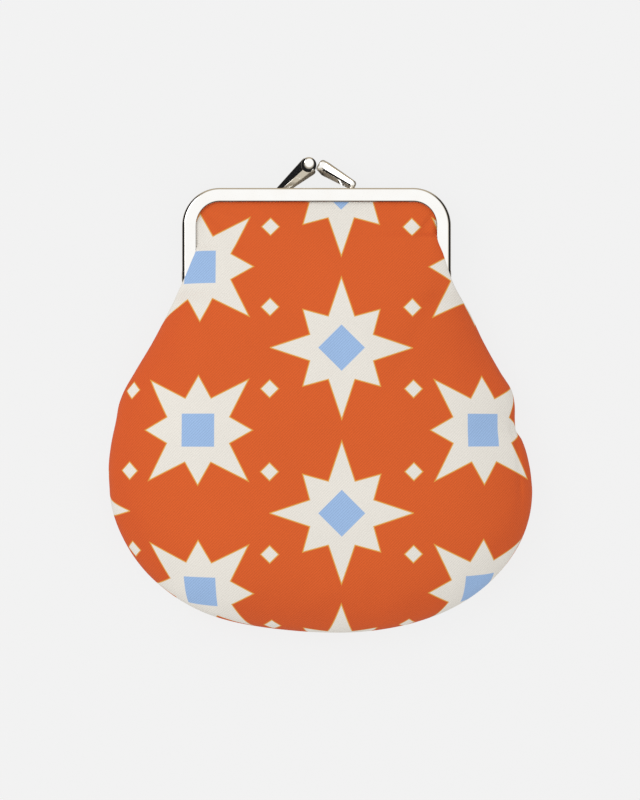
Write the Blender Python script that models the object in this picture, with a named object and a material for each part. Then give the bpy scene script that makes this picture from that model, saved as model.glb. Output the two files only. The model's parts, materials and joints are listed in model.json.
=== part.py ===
"""Small cloth purse with a kiss clasp, lying on its back.

The front of the purse faces +Z, its clasp points to +Y and X runs across it. Two halves of a
bent steel channel turn on one pair of rivets. Each half grips the turned-in edge of the cloth
with a paper cord. The bag is an outer cloth, a padding and a lining, front and back, which
meet along the seam in the plane of the hinge axis. The front half turns about that axis.
"""

import math

import bmesh
import bpy
import numpy as np
from mathutils import Vector

MM = 0.001
GAP = 0.3 * MM  # clearance between pieces that touch on the real purse

# Frame: each half is a channel of sheet steel bent to an upside-down U
FRAME_WIDTH = 75.0 * MM
FRAME_RISE = 24.5 * MM  # hinge axis to the top of the frame
FRAME_CORNER = 10.5 * MM  # outer radius of the two bends
CHANNEL_FACE = 3.9 * MM  # width of the band that shows
CHANNEL_DEPTH = 4.4 * MM  # front to back, one half
SHEET = 0.6 * MM
EDGE_ROUND = 0.5 * MM  # bend radius along the outer edges of the channel
CHANNEL_STOP = 4.0 * MM  # the channel ends this far above the hinge axis
ARM_END = 2.4 * MM  # the face alone runs on, narrowing, to this far below the axis
ARM_END_TOP = 3.3 * MM  # the face's width where the channel stops
ARM_END_TIP = 1.1 * MM  # the face's width at its end
ARM_END_LIP = 1.3 * MM  # how deep the arm's end is turned down along its outer edge
ARM_END_INSET = 0.1 * MM  # the arm's end is this much thinner than the sheet on each side

# Hinge: a flat tab on each arm, front half outside, and a rivet through both
TAB_RADIUS = 2.6 * MM
TAB_INSET = 0.05 * MM  # the tabs are this much thinner than the sheet on each side
TAB_ROOT = 0.6 * MM  # how far the tab runs into the channel's wall
TAB_SHRINK = 0.5 * MM  # the tab's root is narrower than the channel by this, each side
JOGGLE = 2.2 * MM  # length of the step that sets the back half's tabs inwards
RIVET_RADIUS = 1.0 * MM
RIVET_HEAD_RADIUS = 1.8 * MM
RIVET_HEAD = 0.5 * MM
RIVET_DOME = 0.2 * MM  # how far the head's rim is lower than its middle
RIVET_RIM_SHARE = 0.85  # radius of the head's flat middle, as a share of the head's

# Clasp: a faceted tapered lever on each half, the heads side by side
CLASP_RISE = 8.4 * MM  # frame top to the top of the lever heads
CLASP_SPREAD = 9.6 * MM  # purse centre to the foot of each lever
HEAD_RADIUS = 2.25 * MM
FOOT_RADIUS = 1.15 * MM
HEAD_CLEARANCE = 0.5 * MM  # between the two heads
CLASP_LEAN = 1.1 * MM  # how far each head leans past the hinge plane
FOOT_STATIONS = ((0.9, 0.35), (0.5, 0.8))  # distance before the foot and size, in its radii
HEAD_TURNS = (25, 50, 70, 84)  # degrees round the closed end of the head
LEVER_FLAT = 0.82  # thickness of a lever front to back, as a share of its width
LEVER_FACETS = 6
FACET_BEVEL = 0.16  # share of each facet taken by its bevelled corner
TANG_RADIUS = 0.6 * MM
TANG_HEAD_RADIUS = 0.95 * MM
TANG_HEAD = 0.5 * MM

# Cloth layers
CLOTH = 0.5 * MM
PADDING = 1.0 * MM
CORD_RADIUS = 0.65 * MM  # paper cord that wedges the cloth in the channel
CORD_CLEAR = 1.1 * MM  # from the sheet of the channel's end wall to the cord
CORD_LIFT = 0.1 * MM  # from the channel's inner sheet to the cord

# Bag outline, measured from the hinge axis downwards and from the middle outwards
EXIT_RISE = 7.5 * MM  # above the axis, where the cloth leaves the arms of the channel
SHOULDER_DROP = 34.5 * MM
SHOULDER_HALF = 54.7 * MM
WIDE_DROP = 59.5 * MM
WIDE_HALF = 58.7 * MM
BAG_DROP = 99.3 * MM  # hinge axis to the bottom of the bag
ROUNDNESS = 2.12  # exponent of the bottom curve; 2 is an ellipse

# Bag fullness, from the seam plane outwards
FRONT_BELLY = 15.3 * MM
REST_LIFT = 1.4 * MM  # back cloth's height over the table behind the arms
REST_PRESS = 3.0 * MM  # how much of the back's fullness the table flattens
CROWN_POWER = 2.4  # exponent of the cross-section
SIDE_POWER = 0.5  # makes the cross-section's sides upright; 1 where the channel holds them

# Fold of the front cloth and lining: a tongue stays with the bag, a yoke goes with the frame
FOLD_CLEAR = 8.0 * MM  # beside the arms the bag's part ends this far below the axis
TONGUE_RISE = 11.0 * MM  # in the middle the bag's part ends this far above the axis
TONGUE_GAP = 1.0 * MM
TONGUE_MARGIN = 2.0 * MM  # from the mouth's side to the side of the tongue
PADDING_DROP = 13.0 * MM  # padding starts this far below the axis
RIM_DROP = 9.5 * MM  # the side seam starts this far below the axis
LINING_DROP = 12.0 * MM  # the lining reaches the side seam this far below the axis
ARM_COVER = 3.5 * MM  # the cloth covers the arms down to this far below the axis

# Derived places
HALF = FRAME_WIDTH / 2
HINGE_Z = GAP / 2 + CHANNEL_DEPTH + GAP + CLOTH + REST_LIFT
HINGE_Y = (BAG_DROP - FRAME_RISE - CLASP_RISE) / 2
MOUTH_HALF = HALF - CHANNEL_FACE - GAP
MOUTH_RISE = FRAME_RISE - CHANNEL_FACE - GAP
GRIP_INSET = SHEET + GAP + TANG_HEAD + GAP  # the cloth's edge inside the channel
GRIP_HEIGHT = GAP / 2 + CHANNEL_DEPTH - SHEET - GAP  # outer cloth in the channel, over the axis
ARM_HEIGHT = GAP / 2 + CHANNEL_DEPTH + GAP  # cloth that passes over the arms
SEAM_HEIGHT = GAP / 2
OUTER_IN = CLOTH
PADDING_OUT = OUTER_IN + GAP
PADDING_IN = PADDING_OUT + PADDING
LINING_OUT = PADDING_IN + GAP
LINING_NECK = CLOTH + GAP  # lining's depth where there is no padding

# Columns of the cloth's mesh from the middle to the edge, as shares of the half-width
INNER_COLUMN_SHARES = (0.0, 0.2, 0.4, 0.6, 0.75)
TONGUE_COLUMN_SHARE = 0.86
YOKE_COLUMN_SHARE = 0.88
OUTER_COLUMN_SHARES = (0.95, 1.0)
MOST_SIDE_SHARE = 0.95  # the tongue's side lies no further out than this share

# Rows of the cloth's mesh: down to the widest line, then as shares of the quarter turn below
DROP_SHARES = (0.0, 0.14, 0.32, 0.54, 0.77, 1.0)
TURN_SHARES = (0.2, 0.4, 0.58, 0.74, 0.88, 1.0)

CORNER_STEPS = 8
ROUND_SIDES = 16
HOLE_STEP_SHARE = 0.3  # turns a hole's corners away from its tab's corners
CORD_SIDES = 8
ROUND_STEPS = 3  # steps round a bent edge of the channel
SHARP_ANGLE = math.radians(35)
LEVER_SHARP_ANGLE = math.radians(20)

COLOURS = {
    "steel": ((0.80, 0.80, 0.78), 0.12, 1.0),
    "cotton": ((0.86, 0.32, 0.12), 0.85, 0.0),
    "lining": ((0.88, 0.86, 0.80), 0.85, 0.0),
    "fleece": ((0.90, 0.90, 0.88), 0.95, 0.0),
    "paper": ((0.72, 0.60, 0.42), 0.90, 0.0),
}


def clear_scene():
    for obj in list(bpy.data.objects):
        bpy.data.objects.remove(obj, do_unlink=True)


def material(name):
    """A Principled BSDF in the piece's own colour."""
    colour, roughness, metallic = COLOURS[name]
    made = bpy.data.materials.new(name)
    made.use_nodes = True
    shader = made.node_tree.nodes["Principled BSDF"]
    shader.inputs["Base Color"].default_value = (*colour, 1.0)
    shader.inputs["Roughness"].default_value = roughness
    shader.inputs["Metallic"].default_value = metallic
    return made


def carrier(name, place):
    """An empty that carries one half of the purse."""
    empty = bpy.data.objects.new(name, None)
    empty.location = place
    bpy.context.scene.collection.objects.link(empty)
    return empty


def add_piece(name, bm, finish, parent, sharp_angle=SHARP_ANGLE):
    """Link a bmesh drawn in world coordinates as an object carried by parent."""
    bmesh.ops.remove_doubles(bm, verts=bm.verts, dist=TAB_INSET / 10)
    bmesh.ops.recalc_face_normals(bm, faces=bm.faces)
    bmesh.ops.translate(bm, verts=bm.verts, vec=-parent.location)
    mesh = bpy.data.meshes.new(name)
    bm.to_mesh(mesh)
    bm.free()
    mesh.shade_smooth()
    mesh.set_sharp_from_angle(angle=sharp_angle)
    mesh.materials.append(finish)
    obj = bpy.data.objects.new(name, mesh)
    obj.parent = parent
    bpy.context.scene.collection.objects.link(obj)
    return obj


def helper(name, bm, parent):
    """A hidden solid that a Boolean reads."""
    obj = add_piece(name, bm, bpy.data.materials[0], parent)
    obj.hide_render = True
    obj.display_type = "WIRE"
    return obj


def boolean(obj, tool, operation):
    modifier = obj.modifiers.new(f"{operation.lower()}_{tool.name}", "BOOLEAN")
    modifier.operation = operation
    modifier.object = tool
    modifier.solver = "EXACT"


def skin(bm, rings):
    """Close a body over rings of points that all have the same count."""
    loops = [[bm.verts.new(point) for point in ring] for ring in rings]
    count = len(loops[0])
    for near, far in zip(loops, loops[1:]):
        for i in range(count):
            j = (i + 1) % count
            bm.faces.new((near[i], near[j], far[j], far[i]))
    bm.faces.new(loops[0])
    bm.faces.new(loops[-1])


def turned(bm, profile, centre, step_share=0.0):
    """A solid turned about a line along X, from (offset, radius) pairs."""
    angles = [2 * math.pi * (i + step_share) / ROUND_SIDES for i in range(ROUND_SIDES)]
    rings = []
    for offset, radius in profile:
        ring = [
            Vector((offset, radius * math.cos(a), radius * math.sin(a))) + centre
            for a in angles
        ]
        rings.append(ring)
    skin(bm, rings)


def frame_path(inset, arm_end):
    """Points and inward directions along the U of the frame, inset from its outer edge."""
    centre_x = HALF - FRAME_CORNER
    centre_y = FRAME_RISE - FRAME_CORNER
    radius = FRAME_CORNER - inset
    stations = [(HALF - inset, arm_end, -1.0, 0.0)]
    for step in range(CORNER_STEPS + 1):
        angle = math.pi / 2 * step / CORNER_STEPS
        ca, sa = math.cos(angle), math.sin(angle)
        stations.append((centre_x + radius * ca, centre_y + radius * sa, -ca, -sa))
    mirrored = [(-x, y, -nx, ny) for x, y, nx, ny in reversed(stations)]
    return stations + mirrored


def bent_edge(centre_z, start, inset=0.0):
    """A quarter turn round an outer edge of the channel, from a start angle on."""
    radius = EDGE_ROUND - inset
    angles = [start - math.pi / 2 * step / ROUND_STEPS for step in range(ROUND_STEPS + 1)]
    return [(EDGE_ROUND + radius * math.cos(a), centre_z + radius * math.sin(a)) for a in angles]


def channel_section(side):
    """Cross-section of the channel as (distance inwards, height over the axis) pairs."""
    low, high = GAP / 2, GAP / 2 + CHANNEL_DEPTH
    outer = bent_edge(low + EDGE_ROUND, math.pi * 1.5) + bent_edge(high - EDGE_ROUND, math.pi)
    inner = [
        (CHANNEL_FACE, high),
        (CHANNEL_FACE, high - SHEET),
        (SHEET, high - SHEET),
        (SHEET, low + SHEET),
        (CHANNEL_FACE, low + SHEET),
        (CHANNEL_FACE, low),
    ]
    return [(a, side * z) for a, z in outer + inner]


def arm_end(bm, side, x_side):
    """The end of an arm: its face and a narrow lip, which run on below the channel."""
    high = GAP / 2 + CHANNEL_DEPTH
    inset = ARM_END_INSET
    rings = []
    for y, width in ((CHANNEL_STOP + TAB_ROOT, ARM_END_TOP), (-ARM_END, ARM_END_TIP)):
        section = [(inset, high - ARM_END_LIP)] + bent_edge(high - EDGE_ROUND, math.pi, inset)
        section += [(width, high - inset), (width, high - SHEET + inset)]
        section += [(SHEET - inset, high - SHEET + inset), (SHEET - inset, high - ARM_END_LIP)]
        rings.append([(x_side * (HALF - a), HINGE_Y + y, HINGE_Z + side * z) for a, z in section])
    skin(bm, rings)


def tab_body(bm, side, x_side, x_near, x_far):
    """Hinge tab: a disc about the axis joined to the end of the channel's wall."""
    points = []
    for i in range(ROUND_SIDES):
        angle = 2 * math.pi * i / ROUND_SIDES
        points.append((TAB_RADIUS * math.cos(angle), TAB_RADIUS * math.sin(angle)))
    root = CHANNEL_STOP + TAB_ROOT
    for height in (GAP / 2 + TAB_SHRINK, GAP / 2 + CHANNEL_DEPTH - TAB_SHRINK):
        points.append((root, side * height))
    if side > 0:
        points.append((-ARM_END, GAP / 2 + CHANNEL_DEPTH - TAB_SHRINK))
    for x in (x_near, x_far):
        for y, z in points:
            bm.verts.new((x_side * x, HINGE_Y + y, HINGE_Z + z))
    hull = bmesh.ops.convex_hull(bm, input=bm.verts)
    bmesh.ops.delete(bm, geom=hull["geom_interior"], context="VERTS")


def box_body(bm, low, high):
    """A plain box between two corners."""
    made = bmesh.ops.create_cube(bm, size=1.0)
    size = [b - a for a, b in zip(low, high)]
    middle = Vector([(a + b) / 2 for a, b in zip(low, high)])
    bmesh.ops.scale(bm, verts=made["verts"], vec=size)
    bmesh.ops.translate(bm, verts=made["verts"], vec=middle)


def add_frame(name, side, parent, steel):
    """One half of the frame; side is +1 for the front half and -1 for the back half."""
    bm = bmesh.new()
    section = channel_section(side)
    rings = []
    for x, y, nx, ny in frame_path(0.0, CHANNEL_STOP):
        ring = [(x + a * nx, HINGE_Y + y + a * ny, HINGE_Z + z) for a, z in section]
        rings.append(ring)
    skin(bm, rings)
    frame = add_piece(name, bm, steel, parent)
    outside = HALF - TAB_INSET
    inside = HALF - SHEET + TAB_INSET
    if side < 0:
        outside = HALF - SHEET - GAP
        inside = outside - SHEET + 2 * TAB_INSET
    for label, x_side in (("left", -1), ("right", 1)):
        bm = bmesh.new()
        tab_body(bm, side, x_side, inside, outside)
        boolean(frame, helper(f"{name}_tab_{label}", bm, parent), "UNION")
        bm = bmesh.new()
        arm_end(bm, side, x_side)
        boolean(frame, helper(f"{name}_arm_end_{label}", bm, parent), "UNION")
        if side < 0:
            bm = bmesh.new()
            near, far = sorted((x_side * (inside + TAB_INSET), x_side * (HALF - SHEET / 2)))
            base = HINGE_Y + CHANNEL_STOP + TAB_INSET
            low = (near, base, HINGE_Z - CHANNEL_DEPTH + TAB_SHRINK)
            high = (far, base + JOGGLE, HINGE_Z - SHEET)
            box_body(bm, low, high)
            boolean(frame, helper(f"{name}_joggle_{label}", bm, parent), "UNION")
        bm = bmesh.new()
        reach = (HALF + SHEET) * x_side
        root = (inside - SHEET) * x_side
        hole = RIVET_RADIUS + GAP
        axis_point = Vector((0, HINGE_Y, HINGE_Z))
        turned(bm, [(root, hole), (reach, hole)], axis_point, HOLE_STEP_SHARE)
        boolean(frame, helper(f"{name}_hole_{label}", bm, parent), "DIFFERENCE")
    bm = bmesh.new()
    tang_hole(bm, side * CLASP_SPREAD, side)
    boolean(frame, helper(f"{name}_tang_hole", bm, parent), "DIFFERENCE")
    return frame


def upright(bm, x, z, stations, sides=CORD_SIDES):
    """A round body along Y from (y, radius) pairs."""
    angles = [2 * math.pi * i / sides for i in range(sides)]
    rings = []
    for y, radius in stations:
        rings.append([(x + radius * math.cos(a), y, z + radius * math.sin(a)) for a in angles])
    skin(bm, rings)


def clasp_foot(side):
    """Height over the axis of a lever's foot, in the middle of its own half."""
    return side * (GAP / 2 + CHANNEL_DEPTH / 2)


def tang_hole(bm, x, side):
    top = HINGE_Y + FRAME_RISE
    z = HINGE_Z + clasp_foot(side)
    radius = TANG_RADIUS + GAP
    upright(bm, x, z, [(top - SHEET - GAP, radius), (top + GAP, radius)])


def lever_section(scale, roll):
    """Bevelled polygon of a lever, as (across, front to back) pairs."""
    points = []
    for facet in range(LEVER_FACETS):
        for bevel in (-FACET_BEVEL, FACET_BEVEL):
            angle = roll + 2 * math.pi * (facet + bevel) / LEVER_FACETS
            points.append((scale * math.cos(angle), scale * LEVER_FLAT * math.sin(angle)))
    return points


def add_lever(name, side, parent, steel):
    """Clasp lever on one half: the front half's stands right of the middle."""
    top = HINGE_Y + FRAME_RISE
    foot = Vector((side * CLASP_SPREAD, top + GAP + FOOT_RADIUS, HINGE_Z + clasp_foot(side)))
    head_x = side * (HEAD_CLEARANCE / 2 + HEAD_RADIUS)
    head = Vector((head_x, top + CLASP_RISE - HEAD_RADIUS, HINGE_Z - side * CLASP_LEAN))
    along = head - foot
    length = along.length
    along.normalize()
    across = along.cross(Vector((0, 0, 1))).normalized()
    depth = across.cross(along)
    roll = math.pi / LEVER_FACETS if side < 0 else 0.0
    stations = [(-before * FOOT_RADIUS, size * FOOT_RADIUS) for before, size in FOOT_STATIONS]
    stations += [(0.0, FOOT_RADIUS), (length, HEAD_RADIUS)]
    for turn in HEAD_TURNS:
        angle = math.radians(turn)
        stations.append((length + HEAD_RADIUS * math.sin(angle), HEAD_RADIUS * math.cos(angle)))
    bm = bmesh.new()
    rings = []
    for distance, scale in stations:
        centre = foot + along * distance
        rings.append([centre + across * a + depth * b for a, b in lever_section(scale, roll)])
    skin(bm, rings)
    lever = add_piece(name, bm, steel, parent, LEVER_SHARP_ANGLE)
    bm = bmesh.new()
    peened = top - SHEET - GAP
    upright(
        bm,
        foot.x,
        foot.z,
        [
            (peened - TANG_HEAD, TANG_RADIUS),
            (peened - TANG_HEAD / 2, TANG_HEAD_RADIUS),
            (peened, TANG_HEAD_RADIUS),
            (peened, TANG_RADIUS),
            (foot.y, TANG_RADIUS),
        ],
    )
    boolean(lever, helper(f"{name}_tang", bm, parent), "UNION")
    return lever


def add_rivet(name, x_side, parent, steel):
    """Hinge rivet with its formed heads outside and inside the two tabs."""
    bm = bmesh.new()
    outer = HALF + GAP
    inner = HALF - SHEET - GAP - SHEET - GAP
    rim = RIVET_HEAD_RADIUS * RIVET_RIM_SHARE
    profile = [
        (inner - RIVET_HEAD, rim),
        (inner - RIVET_HEAD + RIVET_DOME, RIVET_HEAD_RADIUS),
        (inner, RIVET_HEAD_RADIUS),
        (inner, RIVET_RADIUS),
        (outer, RIVET_RADIUS),
        (outer, RIVET_HEAD_RADIUS),
        (outer + RIVET_HEAD - RIVET_DOME, RIVET_HEAD_RADIUS),
        (outer + RIVET_HEAD, rim),
    ]
    centre = Vector((0, HINGE_Y, HINGE_Z))
    turned(bm, [(x_side * x, r) for x, r in profile], centre)
    return add_piece(name, bm, steel, parent)


def add_paper_cord(name, side, parent, paper):
    """Twisted paper cord pressed into the channel beside the cloth."""
    inset = SHEET + CORD_CLEAR + CORD_RADIUS
    height = side * (GAP / 2 + SHEET + CORD_LIFT + CORD_RADIUS)
    rings = []
    for x, y, nx, ny in frame_path(inset, EXIT_RISE + CORD_RADIUS):
        ring = []
        for i in range(CORD_SIDES):
            angle = 2 * math.pi * i / CORD_SIDES
            a, z = CORD_RADIUS * math.cos(angle), CORD_RADIUS * math.sin(angle)
            ring.append((x + a * nx, HINGE_Y + y + a * ny, HINGE_Z + height + z))
        rings.append(ring)
    bm = bmesh.new()
    skin(bm, rings)
    return add_piece(name, bm, paper, parent)


def blend(value, low, high):
    """0 below low, 1 above high and a straight ramp between."""
    return min(1.0, max(0.0, (value - low) / (high - low)))


def frame_half(rise, inset):
    """Half-width of the frame's outline at a height over the axis, inset from its edge."""
    radius = FRAME_CORNER - inset
    over = min(max(rise - (FRAME_RISE - FRAME_CORNER), 0.0), radius)
    return HALF - FRAME_CORNER + math.sqrt(radius**2 - over**2)


def flank(rise):
    """Half-width of the bag below the channel: a straight flank, then a soft shoulder."""
    slope = (SHOULDER_HALF - MOUTH_HALF) / (SHOULDER_DROP + EXIT_RISE)
    if rise > -SHOULDER_DROP:
        return MOUTH_HALF + slope * max(EXIT_RISE - rise, 0.0)
    share = (rise + WIDE_DROP) / (WIDE_DROP - SHOULDER_DROP)
    return WIDE_HALF - (WIDE_HALF - SHOULDER_HALF) * share**2


def crown(rise, belly):
    """Fullness of the bag in its middle: a parabola from the channel's mouth to the belly."""
    share = min(1.0, (rise + WIDE_DROP) / (MOUTH_RISE + WIDE_DROP))
    return GRIP_HEIGHT + (belly - GRIP_HEIGHT) * (1 - share**2)


class Layer:
    """One layer of the bag, between two depths measured inwards from the outer face."""

    def __init__(self, side, depths, neck_depths, lines_bag):
        self.side = side
        self.depths = depths
        self.neck_depths = neck_depths
        self.lines_bag = lines_bag
        self.belly = FRONT_BELLY if side > 0 else HINGE_Z + REST_PRESS

    def edge(self, rise):
        """Half-width, rim height, hold (1 in the channel, 0 at a seam) and grip width."""
        if self.lines_bag:
            hold = blend(rise, -LINING_DROP, -FOLD_CLEAR)
            half = flank(rise) + (frame_half(rise, HALF - MOUTH_HALF) - flank(rise)) * hold
            rim = SEAM_HEIGHT + (GRIP_HEIGHT - SEAM_HEIGHT) * hold
        else:
            hold = blend(rise, EXIT_RISE - GAP, EXIT_RISE + GAP)
            half = flank(rise) if rise < EXIT_RISE else frame_half(rise, HALF - MOUTH_HALF)
            rim = SEAM_HEIGHT + (ARM_HEIGHT - SEAM_HEIGHT) * blend(rise, -RIM_DROP, -ARM_COVER)
            rim += (GRIP_HEIGHT - ARM_HEIGHT) * hold
        gripped = rise > EXIT_RISE + 2 * CORD_RADIUS
        grip = frame_half(rise, GRIP_INSET) if gripped else half
        return half, rim, hold, max(grip, half)

    def placed(self, rise, columns, half):
        """Shares of the half-width where the columns lie; the tongue's side keeps its place."""
        side = (MOUTH_HALF - TONGUE_MARGIN) / half
        side += (TONGUE_COLUMN_SHARE - side) * blend(-rise, FOLD_CLEAR, SHOULDER_DROP)
        side = min(side, MOST_SIDE_SHARE)
        knots = (0.0, TONGUE_COLUMN_SHARE, YOKE_COLUMN_SHARE, 1.0)
        places = (0.0, side, side + GAP / half, 1.0)
        return np.sign(columns) * np.interp(np.abs(columns), knots, places)

    def ring(self, station, shares, surface):
        """Points across the bag on one face of the layer; surface 0 is outer, 1 is inner."""
        rise, turn = station
        half, rim, hold, grip = self.edge(rise)
        neck = blend(rise, -PADDING_DROP, -ARM_COVER)
        depth = self.depths[surface] + (self.neck_depths[surface] - self.depths[surface]) * neck
        reach_share = math.sin(turn) ** (2 / ROUNDNESS)
        shares = self.placed(rise, shares, half - depth * (1 - hold))
        close_share = math.cos(turn) ** (2 / ROUNDNESS)
        y = HINGE_Y + rise - (BAG_DROP - WIDE_DROP - depth) * reach_share
        half = (half - depth * (1 - hold)) * close_share
        low = rim - depth * hold
        high = low if rise >= MOUTH_RISE else crown(rise, self.belly) - depth
        high = low + (high - low) * close_share
        soft = SIDE_POWER + (1 - SIDE_POWER) * blend(rise, EXIT_RISE, MOUTH_RISE)
        height = low + (high - low) * (1 - np.abs(shares) ** CROWN_POWER) ** soft
        if self.side < 0:
            height = np.minimum(height, HINGE_Z - depth)
        x = shares * half
        x = np.concatenate([[-max(grip * close_share, half)], x, [max(grip * close_share, half)]])
        if hold == 0:
            x[0], x[-1] = x[1], x[-2]
        height = np.concatenate([[height[0]], height, [height[-1]]])
        z = HINGE_Z + self.side * height
        return np.stack([x, np.full_like(x, y), z], axis=1)

    def build(self, bm, stations, shares, keep):
        """Both faces of the cells that keep(row, column share) holds, and walls round them."""
        faces = [[self.ring(s, shares, k) for s in stations] for k in (0, 1)]
        grids = [[[bm.verts.new(p) for p in ring] for ring in face] for face in faces]
        padded_shares = np.concatenate([[shares[0]], shares, [shares[-1]]])
        rows, columns = len(stations) - 1, len(padded_shares) - 1
        held = {
            (r, c)
            for r in range(rows)
            for c in range(columns)
            if keep(
                (stations[r][0] + stations[r + 1][0]) / 2,
                (padded_shares[c] + padded_shares[c + 1]) / 2,
            )
        }
        for r, c in held:
            corners = ((r, c), (r, c + 1), (r + 1, c + 1), (r + 1, c))
            for grid in grids:
                bm.faces.new([grid[i][j] for i, j in corners])
            neighbours = ((r - 1, c), (r, c + 1), (r + 1, c), (r, c - 1))
            for n, neighbour in enumerate(neighbours):
                past_pole = neighbour[0] >= rows
                if neighbour in held or past_pole:
                    continue
                a, b = corners[n], corners[(n + 1) % 4]
                wall = [grids[0][a[0]][a[1]], grids[0][b[0]][b[1]]]
                wall += [grids[1][b[0]][b[1]], grids[1][a[0]][a[1]]]
                bm.faces.new(wall)
        loose = [vert for vert in bm.verts if not vert.link_faces]
        bmesh.ops.delete(bm, geom=loose, context="VERTS")


def columns():
    """Columns of the cloth's mesh across the whole bag."""
    places = list(INNER_COLUMN_SHARES) + [TONGUE_COLUMN_SHARE, YOKE_COLUMN_SHARE]
    places += list(OUTER_COLUMN_SHARES)
    return np.array([-p for p in reversed(places[1:])] + places)


def neck_stations(tongue_gap):
    """Heights over the axis where the rows lie, from the channel down to the fold."""
    span = MOUTH_RISE - TONGUE_RISE - tongue_gap
    rows = [FRAME_RISE - GRIP_INSET, MOUTH_RISE, MOUTH_RISE - span / 3, MOUTH_RISE - span * 2 / 3]
    rows += [TONGUE_RISE + tongue_gap, TONGUE_RISE]
    rows += [EXIT_RISE + 2 * CORD_RADIUS, EXIT_RISE + GAP, EXIT_RISE - GAP]
    rows += [EXIT_RISE / 2, 0.0, -ARM_COVER, -FOLD_CLEAR]
    return [(rise, 0.0) for rise in rows]


def bag_stations(start):
    """Rows from start down to the widest line, then round to the bottom."""
    span = WIDE_DROP - start
    rows = [(-start - span * share, 0.0) for share in DROP_SHARES]
    return rows + [(-WIDE_DROP, math.pi / 2 * share) for share in TURN_SHARES]


def in_bag(rise, column):
    """True for the tongue and all of the bag below it."""
    return rise < -FOLD_CLEAR or (rise < TONGUE_RISE and abs(column) < TONGUE_COLUMN_SHARE)


def add_layer(name, layer, rows, finish, bodies):
    """One layer; the front's is divided at the fold when it reaches the frame."""
    divided = layer.side > 0 and rows[0][0] > 0
    yoke_rise = min([rise for rise, turn in rows if rise > TONGUE_RISE], default=0.0)

    def in_yoke(rise, column):
        beside = rise > 0 and abs(column) > YOKE_COLUMN_SHARE
        return rise > yoke_rise or beside

    bm = bmesh.new()
    layer.build(bm, rows, columns(), in_bag if divided else lambda rise, column: True)
    add_piece(name, bm, finish, bodies["back"])
    if divided:
        bm = bmesh.new()
        layer.build(bm, rows, columns(), in_yoke)
        add_piece(f"{name}_yoke", bm, finish, bodies["front"])


def add_cloths(side, word, bodies, finishes):
    """Outer cloth, padding and lining of one side of the bag."""
    outer = Layer(side, (0.0, OUTER_IN), (0.0, OUTER_IN), lines_bag=False)
    rows = neck_stations(TONGUE_GAP) + bag_stations(RIM_DROP)
    add_layer(f"{word}_outer_cloth", outer, rows, finishes["cotton"], bodies)

    padding = Layer(side, (PADDING_OUT, PADDING_IN), (PADDING_OUT, PADDING_IN), lines_bag=False)
    add_layer(f"{word}_padding", padding, bag_stations(PADDING_DROP), finishes["fleece"], bodies)

    depths = (LINING_OUT, LINING_OUT + CLOTH)
    lining = Layer(side, depths, (LINING_NECK, LINING_NECK + CLOTH), lines_bag=True)
    rows = neck_stations(TONGUE_GAP + LINING_NECK) + bag_stations(LINING_DROP)
    add_layer(f"{word}_lining", lining, rows, finishes["lining"], bodies)


def main():
    clear_scene()
    finishes = {name: material(name) for name in COLOURS}
    bodies = {
        "back": carrier("back_half", Vector((0, 0, 0))),
        "front": carrier("frame_hinge", Vector((0, HINGE_Y, HINGE_Z))),
    }
    steel, paper = finishes["steel"], finishes["paper"]
    for side, word in ((-1, "back"), (1, "front")):
        add_frame(f"{word}_frame", side, bodies[word], steel)
        add_paper_cord(f"{word}_paper_cord", side, bodies[word], paper)
        add_cloths(side, word, bodies, finishes)
    add_lever("clasp_lever_left", -1, bodies["back"], steel)
    add_lever("clasp_lever_right", 1, bodies["front"], steel)
    add_rivet("hinge_rivet_left", -1, bodies["back"], steel)
    add_rivet("hinge_rivet_right", 1, bodies["back"], steel)


main()
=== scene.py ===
"""Looks of a small cloth purse with a kiss clasp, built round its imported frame.

The purse lies on its back: the front faces +Z, the clasp points to +Y and X runs across it.
Shapes are worked out in millimetres from the hinge axis: "rise" is the height over the axis
along the purse, and "height" the distance from the axis's plane. Meshes are in metres.
"""

from __future__ import annotations

import json
import logging
import math
from dataclasses import dataclass, field
from enum import Enum
from functools import partialmethod

import bmesh
import bpy
import numpy as np
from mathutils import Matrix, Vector

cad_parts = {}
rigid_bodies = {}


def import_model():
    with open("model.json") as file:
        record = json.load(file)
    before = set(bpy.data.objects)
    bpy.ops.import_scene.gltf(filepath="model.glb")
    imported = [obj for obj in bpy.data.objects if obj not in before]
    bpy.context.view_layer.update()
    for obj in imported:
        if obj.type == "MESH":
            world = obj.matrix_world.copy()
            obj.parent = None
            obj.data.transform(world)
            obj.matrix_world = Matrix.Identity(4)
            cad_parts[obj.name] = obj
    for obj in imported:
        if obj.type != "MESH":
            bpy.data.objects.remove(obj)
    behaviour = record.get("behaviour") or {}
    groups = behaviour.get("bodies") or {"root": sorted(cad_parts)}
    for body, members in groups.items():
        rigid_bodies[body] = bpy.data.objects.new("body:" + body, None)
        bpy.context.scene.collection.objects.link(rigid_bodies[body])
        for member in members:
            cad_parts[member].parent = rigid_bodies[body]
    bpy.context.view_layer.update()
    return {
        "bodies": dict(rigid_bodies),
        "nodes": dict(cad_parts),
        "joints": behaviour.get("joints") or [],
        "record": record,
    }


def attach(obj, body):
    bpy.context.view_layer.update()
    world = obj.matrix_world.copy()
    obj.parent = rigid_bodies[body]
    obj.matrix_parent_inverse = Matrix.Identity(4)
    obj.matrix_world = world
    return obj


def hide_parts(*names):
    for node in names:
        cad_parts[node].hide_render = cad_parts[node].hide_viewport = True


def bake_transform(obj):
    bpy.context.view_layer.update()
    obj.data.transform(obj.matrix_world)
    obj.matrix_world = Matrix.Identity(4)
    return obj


Array = np.ndarray
Body = tuple[Array, Array]  # points in millimetres, and quads
Colour = tuple[float, float, float, float]
Pair = tuple[float, float]
LOG = logging.getLogger("purse")
MM = 0.001
SPAN = 160.0  # millimetres of cloth in one unit of a UV map


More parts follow.
